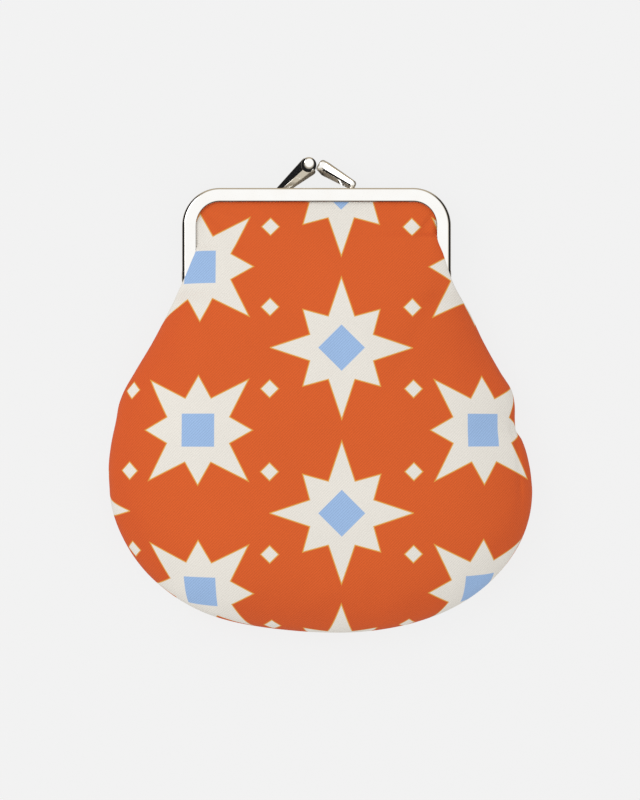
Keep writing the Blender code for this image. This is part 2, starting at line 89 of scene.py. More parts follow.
class Signed(Enum):
    """A choice whose value is the sign of a direction."""

    @property
    def word(self) -> str:
        """The choice's name in a piece's name."""
        return self.name.lower()


class Side(Signed):
    """Front or back of the purse; the sign is that of its height."""

    FRONT = 1
    BACK = -1

    @property
    def body(self) -> str:
        """The rigid body that the metal on this side belongs to."""
        return f"{self.word}_half"


class Hand(Signed):
    """Left or right of the purse; the sign is that of X."""

    LEFT = -1
    RIGHT = 1


@dataclass(frozen=True)
class Hinge:
    """The hinge axis's place in millimetres."""

    y: float
    z: float

    def place(self, x: Array | float, rise: Array | float, height: Array | float) -> Array:
        """Points of the purse from their places over the axis."""
        return np.stack(np.broadcast_arrays(x, self.y + rise, self.z + height), -1)


# ---------------------------------------------------------------- small mathematics


def ramp(value: Array | float, low: float, high: float) -> Array:
    """Smooth step: 0 below low, 1 above high, 3t^2 - 2t^3 between."""
    t = np.clip((np.asarray(value, float) - low) / (high - low), 0.0, 1.0)
    return t * t * (3 - 2 * t)


def window(value: Array, rising: Pair, falling: Pair) -> Array:
    """1 between a rising and a falling smooth step, each given by its two ends."""
    return ramp(value, *rising) * (1 - ramp(value, *falling))


def bell(value: Array) -> Array:
    """Bell curve: the exponential of minus the square."""
    return np.exp(-(value**2))


def arc(start: float, end: float, count: int) -> Array:
    """Directions (cosine, sine) from one angle to another, both in quarter turns."""
    angle = np.linspace(start, end, count) * (math.pi / 2)
    return np.stack([np.cos(angle), np.sin(angle)], 1)


def circle(count: int) -> Array:
    """Directions evenly round a full turn."""
    return arc(0, 4, count + 1)[:-1]


def through(places: Array, knots: Array, values: Array) -> Array:
    """Cubic Hermite curve through given values, with slopes by central difference.

    Args:
        places: Where to read the curve.
        knots: Rising positions of the values.
        values: The values at the knots, one number or one row each.

    Returns:
        The curve at each place.
    """
    slopes = np.gradient(values, knots, axis=0)
    at = np.clip(places, knots[0], knots[-1])
    i = np.clip(np.searchsorted(knots, at, side="right") - 1, 0, len(knots) - 2)
    width = knots[i + 1] - knots[i]
    t = (at - knots[i]) / width
    width, t = (a.reshape(a.shape + (1,) * (values.ndim - 1)) for a in (width, t))
    rest = 1 - t
    near = values[i] * (1 + 2 * t) * rest**2 + slopes[i] * width * t * rest**2
    return near + values[i + 1] * t**2 * (3 - 2 * t) - slopes[i + 1] * width * t**2 * rest


def resampled(line: Array, shares: Array) -> Array:
    """Points of a polyline, one row each, at given shares of its length."""
    run = np.concatenate([[0.0], np.cumsum(np.linalg.norm(np.diff(line, axis=0), axis=1))])
    return np.stack([np.interp(shares * run[-1], run, part) for part in line.T], 1)


def gathered(count: int, weight: float) -> Array:
    """Shares 0 to 1 crowding to both ends: even spacing, mixed by weight with cosine spacing."""
    t = np.linspace(0.0, 1.0, count)
    return (1 - weight) * t + weight * (0.5 - 0.5 * np.cos(np.pi * t))


# ---------------------------------------------------------------- meshes


def numbered(rows: int, columns: int) -> Array:
    """Numbers of a grid's points, stored row by row."""
    return np.arange(rows * columns).reshape(rows, columns)


def grid_quads(index: Array) -> Array:
    """Quads between the rows and columns of a grid of point numbers."""
    quads = [index[:-1, :-1], index[:-1, 1:], index[1:, 1:], index[1:, :-1]]
    return np.stack(quads, -1).reshape(-1, 4)


def shell(outer: Array, inner: Array, flip: bool) -> Body:
    """A closed wall between two grids of the same size, with its four edges walled up.

    Args:
        outer: Points of the outer face, rows x columns x 3.
        inner: Points of the inner face.
        flip: Whether the outer face's quads run as the grid does.

    Returns:
        Points and quads.
    """
    index = numbered(*outer.shape[:2])
    rim = np.concatenate([index[0, :-1], index[:-1, -1], index[-1, :0:-1], index[:0:-1, 0]])
    after = np.roll(rim, -1)
    wall = np.stack([rim, rim + index.size, after + index.size, after], -1)
    quads = np.concatenate([grid_quads(index), grid_quads(index + index.size)[:, ::-1], wall])
    points = np.concatenate([outer.reshape(-1, 3), inner.reshape(-1, 3)])
    return points, quads if flip else quads[:, ::-1]


def swept(stations: Array, paired: bool = False) -> Body:
    """A solid through a row of closed outlines: a profile carried along a path.

    Args:
        stations: Points, outlines x points in an outline x 3.
        paired: Closes the ends by a band between the outline's first and second half, as a bent
            sheet needs; otherwise by a fan.

    Returns:
        Points and quads; a fan's triangle repeats its middle point.
    """
    rows, columns = stations.shape[:2]
    index = numbered(rows, columns)
    index = np.concatenate([index, index[:, :1]], 1)
    quads, points = grid_quads(index), stations.reshape(-1, 3)
    if paired:
        i = np.arange(columns // 2 - 1)
        band = np.stack([i + 1, i, columns - 1 - i, columns - 2 - i], -1)
        return points, np.concatenate([quads, band, band[:, ::-1] + (rows - 1) * columns])
    near = np.stack([index[0, 1:], index[0, :-1], np.full(columns, len(points))], -1)
    far = np.stack([index[-1, :-1], index[-1, 1:], np.full(columns, len(points) + 1)], -1)
    fans = np.concatenate([near, far])[:, [0, 1, 2, 2]]
    return np.concatenate([points, stations[[0, -1]].mean(1)]), np.concatenate([quads, fans])


def turned(profile: Array, middle: Array, axes: Array, count: int) -> Body:
    """A profile turned about a line.

    Args:
        profile: Distance along the line and radius, one row each.
        middle: The line's point at distance 0.
        axes: Directions along the line and, twice, across it.
        count: Points in a ring.

    Returns:
        Points and quads.
    """
    rings = np.empty((len(profile), count, 3))
    rings[..., 0] = profile[:, :1]
    rings[..., 1:] = profile[:, 1:, None] * circle(count)
    return swept(middle + rings @ axes)


def joined(parts: list[Body]) -> Body:
    """Several bodies as one, the quads' numbers shifted by the points before them."""
    offsets = np.cumsum([0] + [len(points) for points, _ in parts[:-1]])
    quads = [faces + offset for (_, faces), offset in zip(parts, offsets)]
    return np.concatenate([points for points, _ in parts]), np.concatenate(quads)


def build_object(
    name: str,
    body: Body,
    finish: bpy.types.Material,
    sharp: float = 180.0,
    uv: Array | None = None,
    closed: bool = True,
) -> bpy.types.Object:
    """Puts points and quads into a mesh object at the origin.

    Args:
        name: The object's name.
        body: Points and quads.
        finish: The material.
        sharp: Angle in degrees above which an edge stays sharp.
        uv: Two coordinates for each point.
        closed: Whether the doubles are merged and the shells' faces turned outwards.

    Returns:
        The object, linked to the scene.
    """
    points, quads = body
    counts = np.where(quads[:, 2] == quads[:, 3], 3, 4)
    corners = quads[np.arange(4) < counts[:, None]]
    mesh = bpy.data.meshes.new(name)
    mesh.vertices.add(len(points))
    mesh.vertices.foreach_set("co", (points * MM).astype(np.float32).ravel())
    mesh.loops.add(len(corners))
    mesh.loops.foreach_set("vertex_index", corners.astype(np.int32))
    mesh.polygons.add(len(quads))
    mesh.polygons.foreach_set("loop_start", (np.cumsum(counts) - counts).astype(np.int32))
    mesh.update(calc_edges=True)
    if uv is not None:
        layer = mesh.uv_layers.new(name="cloth")
        layer.data.foreach_set("uv", uv[corners].astype(np.float32).ravel())
    mesh.shade_smooth()
    mesh.set_sharp_from_angle(angle=math.radians(sharp))
    mesh.materials.append(finish)
    mesh.validate()
    if closed:
        bm = bmesh.new()
        bm.from_mesh(mesh)
        bmesh.ops.remove_doubles(bm, verts=bm.verts, dist=1e-7)
        bmesh.ops.recalc_face_normals(bm, faces=bm.faces)
        bm.to_mesh(mesh)
        bm.free()
    piece = bpy.data.objects.new(name, mesh)
    bpy.context.scene.collection.objects.link(piece)
    LOG.info("%s: %d points, %s", name, len(mesh.vertices), finish.name)
    return piece


@dataclass(frozen=True)
class Look:
    """A material, and a slot name that nothing in this script reads."""

    slot: str
    material: bpy.types.Material

    def rigid(self, name: str, shape: Body, sharp: float, body: str, node: str) -> None:
        """Builds a closed piece with this look that rides on a body in a node's place.

        Args:
            name: The piece's name.
            shape: Its points and quads.
            sharp: Angle in degrees above which an edge stays sharp.
            body: The rigid body.
            node: The CAD node.
        """
        piece = build_object(name, shape, self.material, sharp)
        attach(piece, body)
        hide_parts(node)


# ---------------------------------------------------------------- shader nodes


@dataclass(frozen=True)
class Signal:
    """A node's output; arithmetic on it adds Math nodes to its graph."""

    graph: Graph
    socket: bpy.types.NodeSocket

    def math(self, operation: str, *others: Signal | float) -> Signal:
        """A Math node's result on this number and others."""
        return self.graph.signal("Math", self, *others, operation=operation)

    __add__ = __radd__ = partialmethod(math, "ADD")
    __mul__ = __rmul__ = partialmethod(math, "MULTIPLY")
    __sub__ = partialmethod(math, "SUBTRACT")
    __truediv__ = partialmethod(math, "DIVIDE")
    __mod__ = partialmethod(math, "FLOORED_MODULO")
    __abs__ = partialmethod(math, "ABSOLUTE")

    def step(self, low: float, high: float) -> Signal:
        """A linear ramp from 0 at low to 1 at high, held at both ends."""
        return self.graph.signal("MapRange", self, low, high)

    def around(self, middle: float, spread: float) -> Signal:
        """Turns noise between 0 and 1 into numbers spread around a middle."""
        return self * spread + (middle - spread / 2)

    def mix(self, first: Colour | Signal, second: Colour | Signal) -> Signal:
        """Mixes two colours: the first where this is 0, the second where it is 1."""
        colours = {"at": 6, "output": 2, "data_type": "RGBA", "Factor": self}
        return self.graph.signal("Mix", first, second, **colours)


class Graph:
    """Writes the shader nodes of one material or world."""

    def __init__(self, owner: bpy.types.Material | bpy.types.World) -> None:
        """Empties the owner's node tree and keeps it.

        Args:
            owner: The material or world.
        """
        owner.use_nodes = True
        self.tree = owner.node_tree
        self.tree.nodes.clear()

    def node(self, kind: str, *values: object, at: int = 0, **named: object) -> bpy.types.Node:
        """Adds a node.

        Args:
            kind: The node's type name after "ShaderNode".
            values: Constants or signals for its inputs in their order.
            at: Number of the first of these inputs.
            named: More inputs by name, spaces as underscores, and in lower case the node's own
                settings.

        Returns:
            The node.
        """
        made = self.tree.nodes.new(f"ShaderNode{kind}")
        pairs = list(zip(made.inputs[at:], values))
        for name, value in named.items():
            if name.islower():
                setattr(made, name, value)
            else:
                pairs.append((made.inputs[name.replace("_", " ")], value))
        for socket, value in pairs:
            if isinstance(value, Signal):
                self.tree.links.new(value.socket, socket)
            else:
                socket.default_value = value
        return made

    def signal(self, kind: str, *values: object, output: int | str = 0, **named: object) -> Signal:
        """Adds a node as above and takes one of its outputs."""
        return Signal(self, self.node(kind, *values, **named).outputs[output])

    def noise(self, where: Signal, scale: float, detail: float = 2.0) -> Signal:
        """Noise around 0.5 at a number of waves a metre."""
        return self.signal("TexNoise", Vector=where, Scale=scale, Detail=detail)

    def bump(self, height: Signal, distance: float, strength: float = 1.0) -> Signal:
        """A bumped normal; distance is the height's full travel in metres."""
        return self.signal("Bump", Height=height, Distance=distance, Strength=strength)

    def ray(self, kind: str) -> Signal:
        """1 for rays of this kind, such as Camera or Glossy."""
        return self.signal("LightPath", output=f"Is {kind} Ray")


class Finish:
    """Base of the finishes, which differ in the surface that they lay on."""

    def surface(self, graph: Graph, where: Signal) -> dict[str, object]:
        """The Principled surface's inputs, from the place in Object coordinates."""
        raise NotImplementedError

    def material(self, name: str) -> bpy.types.Material:
        """The finish as a material.

        Args:
            name: The material's name.

        Returns:
            The material.
        """
        made = bpy.data.materials.new(name)
        graph = Graph(made)
        inputs = self.surface(graph, graph.signal("TexCoord", output="Object"))
        graph.node("OutputMaterial", Surface=graph.signal("BsdfPrincipled", **inputs))
        return made


@dataclass(frozen=True)
class Nickel(Finish):
    """Polished nickel plate: a mirror with a faint haze and fine rubbed lines."""

    colour: Colour = (0.972, 0.966, 0.948, 1.0)
    hazy: Colour = (0.95, 0.93, 0.90, 1.0)
    roughness: float = 0.06
    waves: float = 180.0
    stretch: tuple[float, float, float] = (40.0, 900.0, 900.0)
    scratch: float = 0.000004

    def surface(self, graph: Graph, where: Signal) -> dict[str, object]:
        """The haze changes tone and gloss, and noise stretched along X makes the lines.

        Args:
            graph: Where the nodes go.
            where: The place in Object coordinates.

        Returns:
            The Principled surface's inputs.
        """
        haze = graph.noise(where, self.waves, 3.0)
        lines = graph.signal("Mapping", Vector=where, Scale=self.stretch)
        return {
            "Base_Color": haze.step(0.3, 0.8).mix(self.colour, self.hazy),
            "Metallic": 1.0,
            "Roughness": haze.around(self.roughness, 0.06),
            "Normal": graph.bump(graph.noise(lines, 5.0, 4.0), self.scratch, 0.35),
        }


@dataclass(frozen=True)
class Fibres(Finish):
    """Tangled or twisted fibres in two tones."""

    dark: Colour
    light: Colour
    waves: float
    detail: float
    tones: Pair  # noise at which each tone is full
    roughness: float
    sheen: float
    depth: float

    def surface(self, graph: Graph, where: Signal) -> dict[str, object]:
        """One noise makes both the tone and the bumps.

        Args:
            graph: Where the nodes go.
            where: The place in Object coordinates.

        Returns:
            The Principled surface's inputs.
        """
        grain = graph.noise(where, self.waves, self.detail)
        return {
            "Base_Color": grain.step(*self.tones).mix(self.dark, self.light),
            "Roughness": self.roughness,
            "Sheen_Weight": self.sheen,
            "Normal": graph.bump(grain, self.depth),
        }


FLEECE = Fibres(
    dark=(0.72, 0.71, 0.68, 1.0), light=(0.86, 0.85, 0.82, 1.0), waves=900.0, detail=6.0,
    tones=(0.3, 0.7), roughness=0.95, sheen=0.3, depth=0.0002,
)
KRAFT = Fibres(
    dark=(0.36, 0.23, 0.11, 1.0), light=(0.50, 0.34, 0.17, 1.0), waves=1300.0, detail=4.0,
    tones=(0.0, 1.0), roughness=0.88, sheen=0.0, depth=0.00008,
)


@dataclass(frozen=True)
class Print:
    """Colours and layout, in millimetres, of the stars printed on the cotton, and a painted shade
    that darkens the ground where the cloth turns away from the view.
    """

    ground: Colour = (0.735, 0.119, 0.0215, 1.0)
    # painted shade: a darker ground colour where the cloth turns away from the view
    ground_deep: Colour = (0.60, 0.066, 0.013, 1.0)
    deepening: float = 0.26
    deepens: Pair = (0.01, 0.22)  # how far the cloth faces away where this starts and is full
    star: Colour = (0.855, 0.815, 0.745, 1.0)
    centre: Colour = (0.345, 0.515, 0.800, 1.0)
    edge: Colour = (0.80, 0.40, 0.07, 1.0)
    column: float = 40.0
    row: float = 46.0
    shift: Pair = (-7.0, -13.0)
    long_ray: float = 19.5
    short_ray: float = 15.0
    valley: float = 9.4
    centre_half: float = 4.6
    spot_half: float = 2.3
    edge_width: float = 0.3
    soft: float = 0.07

    def cell(self, u: Signal, v: Signal, row: float, drop: float) -> tuple[Signal, ...]:
        """Folds a place into its cell of a lattice.

        Args:
            u: Place across the cloth in millimetres.
            v: Place along it.
            row: Distance between rows.
            drop: How much each odd column is shifted along.

        Returns:
            Place across and along from the cell's middle, and 1 in odd columns.
        """
        column = (u / self.column).math("ROUND")
        odd = column % 2.0
        dropped = odd * drop + v
        return u - column * self.column, dropped - (dropped / row).math("ROUND") * row, odd

    def beyond(self, x: Signal, y: Signal, start: tuple, end: tuple) -> Signal:
        """Signed distance past a straight line, negative on the side of the star's middle.

        Args:
            x: Place across.
            y: Place along.
            start: A point of the line.
            end: Another, to the left of the first as seen from the middle.

        Returns:
            The distance.
        """
        along = np.subtract(end, start)
        normal = np.array([along[1], -along[0]]) / np.hypot(*along)
        return x * float(normal[0]) + (y * float(normal[1]) - float(normal @ start))

    def colour(self, u: Signal, v: Signal) -> tuple[Signal, Signal]:
        """The print's colour, with painted shade on its ground, and its ink at a place on the
        cloth.

        An eight-pointed star with four long and four short rays sits in each cell of a half-drop
        lattice. The angle is folded into an eighth of a turn; there the star is what lies behind
        either of two straight lines, from the long ray's tip to the valley and on to the short
        ray's tip. Small diamonds stand between the columns.

        Args:
            u: Place across the cloth in millimetres.
            v: Place along it.

        Returns:
            The colour, and a number that is 0 on the bare cream and 1 under ink.
        """
        u, v = u + self.shift[0], v + self.shift[1]
        across, along, odd = self.cell(u, v, self.row, self.row / 2)
        reach, eighth = (across * across + along * along).math("SQRT"), math.pi / 4
        turn = along.math("ARCTAN2", across) + odd * eighth
        folded = abs((turn + eighth) % (2 * eighth) - eighth)
        x, y = reach * folded.math("COSINE"), reach * folded.math("SINE")
        tip, valley, short = (
            (size * math.cos(angle), size * math.sin(angle)) for size, angle in
            ((self.long_ray, 0.0), (self.valley, eighth / 2), (self.short_ray, eighth))
        )
        star = self.beyond(x, y, tip, valley).math("MINIMUM", self.beyond(x, y, valley, short))
        middle = (x + y) * math.sqrt(0.5) - self.centre_half
        across, along, _ = self.cell(u + self.column / 2, v + self.row / 4, self.row / 2, 0.0)
        spot = (abs(across) + abs(along) - self.spot_half) * math.sqrt(0.5)
        motif = star.math("MINIMUM", spot)
        # painted shade: the ground turns darker where the cloth faces away from the view
        facing = u.graph.signal("LayerWeight", Blend=0.5, output="Facing")
        deep = facing.step(*self.deepens) * self.deepening
        ground = deep.mix(self.ground, self.ground_deep)
        outline = motif.step(self.edge_width - self.soft, self.edge_width + self.soft)
        outside, core = (part.step(-self.soft, self.soft) for part in (motif, middle))
        shade = outside.mix(self.star, outline.mix(self.edge, ground))
        return core.mix(self.centre, shade), outside.math("MAXIMUM", core * -1.0 + 1.0)


@dataclass(frozen=True)
class Cloth(Finish):
    """Cotton cloth woven on the piece's own UV map."""

    print_: Print | None = None
    colour: Colour = (0.84, 0.80, 0.71, 1.0)
    pitch: float = 0.60
    depth: float = 0.00006
    sheen: float = 0.04
    roughness: float = 0.84
    contrast: float = 0.24
    cross: float = 0.2  # height of the ribs that run the other way, against the main ones
    cross_rate: float = 0.9
    slub: float = 0.06  # unevenness of the yarn's tone
    slub_waves: float = 1500.0
    broad: float = 0.08  # and of the cloth's as a whole
    broad_waves: float = 45.0
    wander: float = 0.15  # millimetres by which the ribs leave their straight lines
    wander_waves: float = 420.0

    def surface(self, graph: Graph, where: Signal) -> dict[str, object]:
        """The print, with painted shade on its ground, darkened in the valleys of a twill weave and
        by two noises.

        Args:
            graph: Where the nodes go.
            where: The place in Object coordinates.

        Returns:
            The Principled surface's inputs.
        """
        uv = graph.signal("UVMap", uv_map="cloth")
        parts = graph.node("SeparateXYZ", uv).outputs[:2]
        u, v = (Signal(graph, part) * SPAN for part in parts)
        wander = graph.noise(where, self.wander_waves).around(0.0, self.wander)
        turn = 2 * math.pi / self.pitch
        rib = (((u - v) * math.sqrt(0.5) + wander) * turn).math("SINE")
        cross = ((u + v) * (turn * self.cross_rate)).math("SINE")
        weave = (cross * self.cross + rib) * 0.37 + 0.5
        # the print's ground brings its painted shade where the cloth faces away
        ground, ink = self.print_.colour(u, v) if self.print_ else (self.colour[:3], 0.0)
        slub, broad = graph.noise(where, self.slub_waves), graph.noise(where, self.broad_waves, 3.0)
        light = (weave - 0.5) * ((ink + 1.0) * (self.contrast / 2)) + 1.0
        light = light * slub.around(1.0, self.slub) * broad.around(1.0, self.broad)
        tint = graph.signal("CombineXYZ", light, light, light)
        return {
            "Base_Color": graph.signal("VectorMath", ground, tint, operation="MULTIPLY"),
            "Roughness": slub.around(self.roughness, 0.12),
            "Specular_IOR_Level": 0.25,
            "Sheen_Weight": self.sheen,
            "Sheen_Roughness": 0.45,
            "Normal": graph.bump(slub * 0.5 + weave, self.depth, 0.8),
        }


# ---------------------------------------------------------------- frame metal


def corner(x: float, y: float, radius: float, start: float, sweep: float, count: int) -> Array:
    """Points round a corner; its start and sweep are in quarter turns."""
    return (x, y) + radius * arc(start, start + sweep, count)


@dataclass
class Metal:
    """Sizes of the channel frame, in millimetres, and its finish."""

    look: Look
    hinge: Hinge
    half: float = 37.5
    rise: float = 24.5
    corner: float = 10.5
    face: float = 3.9
    depth: float = 4.4
    sheet: float = 0.6
    parting: float = 0.15
    stop: float = 4.0  # rise at which the channel ends
    end: float = 2.4  # how far the arms' ends go on below the axis
    edge: float = 1.05
    edge_arm: float = 1.04
    edge_bar: float = 0.5
    lip: float = 0.48
    lip_arm: float = 0.16
    lip_bar: float = 0.56
    burr: float = 0.08
    hair: float = 0.006  # keeps an arm's end off the channel's faces
    arm_depth: float = 1.4
    arm_width: Pair = (1.1, 3.3)  # at an arm's end and at the channel
    tab_radius: float = 2.6
    tab_sheet: float = 0.5
    tab_gap: float = 0.05
    tab_set: float = 0.85  # how much further inwards a back tab stands
    joggle_foot: float = 0.1  # over the channel's end
    joggle_rise: float = 2.4
    joggle_inset: float = 0.7
    joggle_half: float = 0.24
    turns: int = 28
    smooth: int = 8
    worn: tuple = (  # tilt in degrees and share of the width, from the wall to the face
        (80, 0.015), (58, 0.035), (40, 0.1), (38, 0.1), (36, 0.1), (34, 0.1), (32, 0.1), (30, 0.1),
        (20, 0.17), (8, 0.18),
    )

    def path(self, inset: float, end: float) -> tuple[Array, Array]:
        """The U of the frame: a straight arm, a quarter bend, the bar, and the same mirrored.

        Args:
            inset: Distance inwards from the outer edge.
            end: Height over the axis where both arms end.

        Returns:
            Points (x, rise) and the directions inwards.
        """
        out, count = arc(0, 1, self.turns), 6
        bend = out * (self.corner - inset) + (self.half - self.corner, self.rise - self.corner)
        arm = np.linspace(end, bend[0, 1], count + 1)[:-1]
        arm = np.stack([np.full(count, self.half - inset), arm], 1)
        right = np.concatenate([arm, bend])
        inward = np.concatenate([np.tile([-1.0, 0.0], (count, 1)), -out])
        line, inward = (np.concatenate([a, a[::-1] * (-1.0, 1.0)]) for a in (right, inward))
        return line, inward

    def worn_edge(self, width: Array) -> tuple[Array, Array]:
        """An edge worn from an upright wall to a flat face, most of it tilted by 30 to 40 degrees.

        It is a chain of straight bits, each with its tilt and its share of the width. A bit's
        fall is its width times the tangent of its tilt.

        Args:
            width: The edge's width at each station.

        Returns:
            Distances from the wall and falls below the face, stations x points.
        """
        tilts, shares = np.array(self.worn).T
        parts = np.stack([shares, shares * np.tan(np.radians(tilts))])
        run, fall = np.pad(np.cumsum(parts, 1), ((0, 0), (1, 0)))
        return width[:, None] * run, width[:, None] * (fall[-1] - fall)

    def section(self, facing: Array) -> Array:
        """The channel's cross-section: a C open inwards, with worn edges.

        Args:
            facing: At each station how far the wall faces along the purse: 1 on the bar.

        Returns:
            Closed outlines of (distance inwards, height over the parting plane), stations x
            points x 2.
        """
        low, high = self.parting, self.parting + self.depth
        r, lip, burr, inner = self.edge, self.lip, self.burr, self.sheet
        bend, fine, few = r - inner, len(self.worn) + 1, self.smooth
        run, fall = self.worn_edge(self.edge_arm + (self.edge_bar - self.edge_arm) * facing)
        shoulder = np.stack([run, high - fall], -1)
        run, fall = self.worn_edge(self.lip_arm + (self.lip_bar - self.lip_arm) * facing)
        mouth = np.stack([self.face - run, high - fall], -1)[:, ::-1]
        below = [
            corner(self.face - lip, low + lip, lip, 0, -1, few),
            corner(r, low + r, r, 3, -1, few),
        ]
        inside = [
            corner(self.face - burr, high - inner + burr, burr, 0, -1, fine),
            corner(inner + bend, high - inner - bend, bend, 1, 1, fine),
            corner(inner + bend, low + inner + bend, bend, 2, 1, few),
            corner(self.face - burr, low + inner - burr, burr, 1, -1, few),
        ]
        below, inside = (
            np.broadcast_to(part, (len(facing),) + part.shape)
            for part in (np.concatenate(below), np.concatenate(inside))
        )
        return np.concatenate([below, shoulder, mouth, inside], 1)

    def channel(self, side: Side) -> Body:
        """The channel's section carried along its path.

        Args:
            side: Which half of the frame.

        Returns:
            Points and quads.
        """
        line, inward = self.path(0.0, self.stop)
        section = self.section(inward[:, 1] ** 2)
        flat = line[:, None] + inward[:, None] * section[..., :1]
        height = side.value * section[..., 1]
        return swept(self.hinge.place(flat[..., 0], flat[..., 1], height), paired=True)

    def arm_end(self, side: Side, hand: Hand) -> Body:
        """The end of an arm: its face and a lip run on below the channel and grow narrower.

        Args:
            side: Which half of the frame.
            hand: Which arm.

        Returns:
            Points and quads.
        """
        high = self.parting + self.depth - self.hair
        low, burr, inner = high - self.arm_depth, self.burr, self.sheet
        bend, fine, few = self.edge - inner, len(self.worn) + 1, self.smooth
        rise = np.linspace(self.stop + 0.4, -self.end, 12)
        width = np.interp(rise, [-self.end, self.stop], self.arm_width)
        run, fall = self.worn_edge(np.array([self.edge_arm, self.lip_arm]))
        parts = [
            corner(burr, low + burr, burr, 3, -1, few),
            np.stack([run[0], high - fall[0]], 1),
            np.stack([-run[1], high - fall[1]], 1)[::-1],
            corner(-burr, high - inner + burr, burr, 0, -1, fine),
            corner(inner + bend, high - inner - bend, bend, 1, 1, fine),
            corner(inner - burr, low + burr, burr, 0, -1, few),
        ]
        section = np.concatenate(parts)
        moving = np.repeat([0, 0, 1, 1, 0, 0], [len(part) for part in parts])
        inwards = np.clip(section[:, 0] + moving * width[:, None], self.hair, None)
        x, height = hand.value * (self.half - inwards), side.value * section[:, 1]
        return swept(self.hinge.place(x, rise[:, None], height), paired=True)

    def tab(self, side: Side, hand: Hand) -> Body:
        """A hinge tab: the hull of a disc about the axis and the wall's root, as a plate.

        The rim's distance from the axis in each direction is the least over the hull's edges of
        edge distance over the cosine to its normal. Four rings make the plate with worn edges.

        Args:
            side: Which half of the frame.
            hand: Which arm.

        Returns:
            Points and quads.
        """
        root, high = self.stop + self.sheet, self.parting + self.depth - self.tab_sheet
        far = self.half - self.tab_gap - (self.tab_set if side is Side.BACK else 0.0)
        near, ray = far - self.tab_sheet, circle(96)
        ends = np.array([[root, self.parting + self.tab_sheet], [root, high], [-self.end, high]])
        ends = ends[: 3 if side is Side.FRONT else 2] * (1, side.value)
        support = (ray @ np.concatenate([ray * self.tab_radius, ends]).T).max(1)
        reach = (support / np.clip(ray @ ray.T, 1e-3, None)).min(1)
        rings = [
            self.hinge.place(hand.value * x, *(ray * (reach - inset)[:, None]).T)
            for x, inset in (
                (near, self.burr), (near + self.burr, 0), (far - self.burr, 0), (far, self.burr)
            )
        ]
        return swept(np.array(rings))

    def joggle(self, hand: Hand) -> Body:
        """The step that sets a back tab inwards: an S of sheet between the wall and the tab.

        Args:
            hand: Which arm.

        Returns:
            Points and quads.
        """
        t = np.linspace(0, 1, 12)[:, None]
        x = self.half - self.sheet / 2 - self.tab_set * (1 - ramp(t, 0, 1))
        rise = self.stop + self.joggle_foot + self.joggle_rise * t
        low, high = self.joggle_inset - self.parting - self.depth, -self.parting - self.joggle_inset
        half = self.joggle_half
        outline = np.array([(half, low), (half, high), (-half, high), (-half, low)])
        return swept(self.hinge.place(hand.value * (x + outline[:, 0]), rise, outline[:, 1]))

    def build(self, side: Side) -> None:
        """One half of the frame with its two tabs, in place of its plain solid.

        Args:
            side: Which half of the frame.
        """
        parts = [make(side, hand) for make in (self.tab, self.arm_end) for hand in reversed(Hand)]
        parts.insert(0, self.channel(side))
        if side is Side.BACK:
            parts += [self.joggle(hand) for hand in reversed(Hand)]
        name, node = f"{side.word}_channel", f"{side.word}_frame"
        self.look.rigid(name, joined(parts), 30, side.body, node)


@dataclass(frozen=True)
class LeverForm:
    """Where a lever stands, in millimetres from the middle of the frame's top, and its facets.

    A facet is given by its tilt from the viewer's side, in degrees towards the lever's upper
    edge, and by its distance from the middle as a share of the lever's half-width.
    """

    foot: Pair
    head: Pair
    foot_half: float
    head_half: float
    facets: tuple
    tip: float  # length of the rounded end as a share of the head's half-width
    cut: bool  # the foot is cut off flush with the bar and the head upright; else both are plain
    knob: float  # radius of the knob on the head, 0 for none


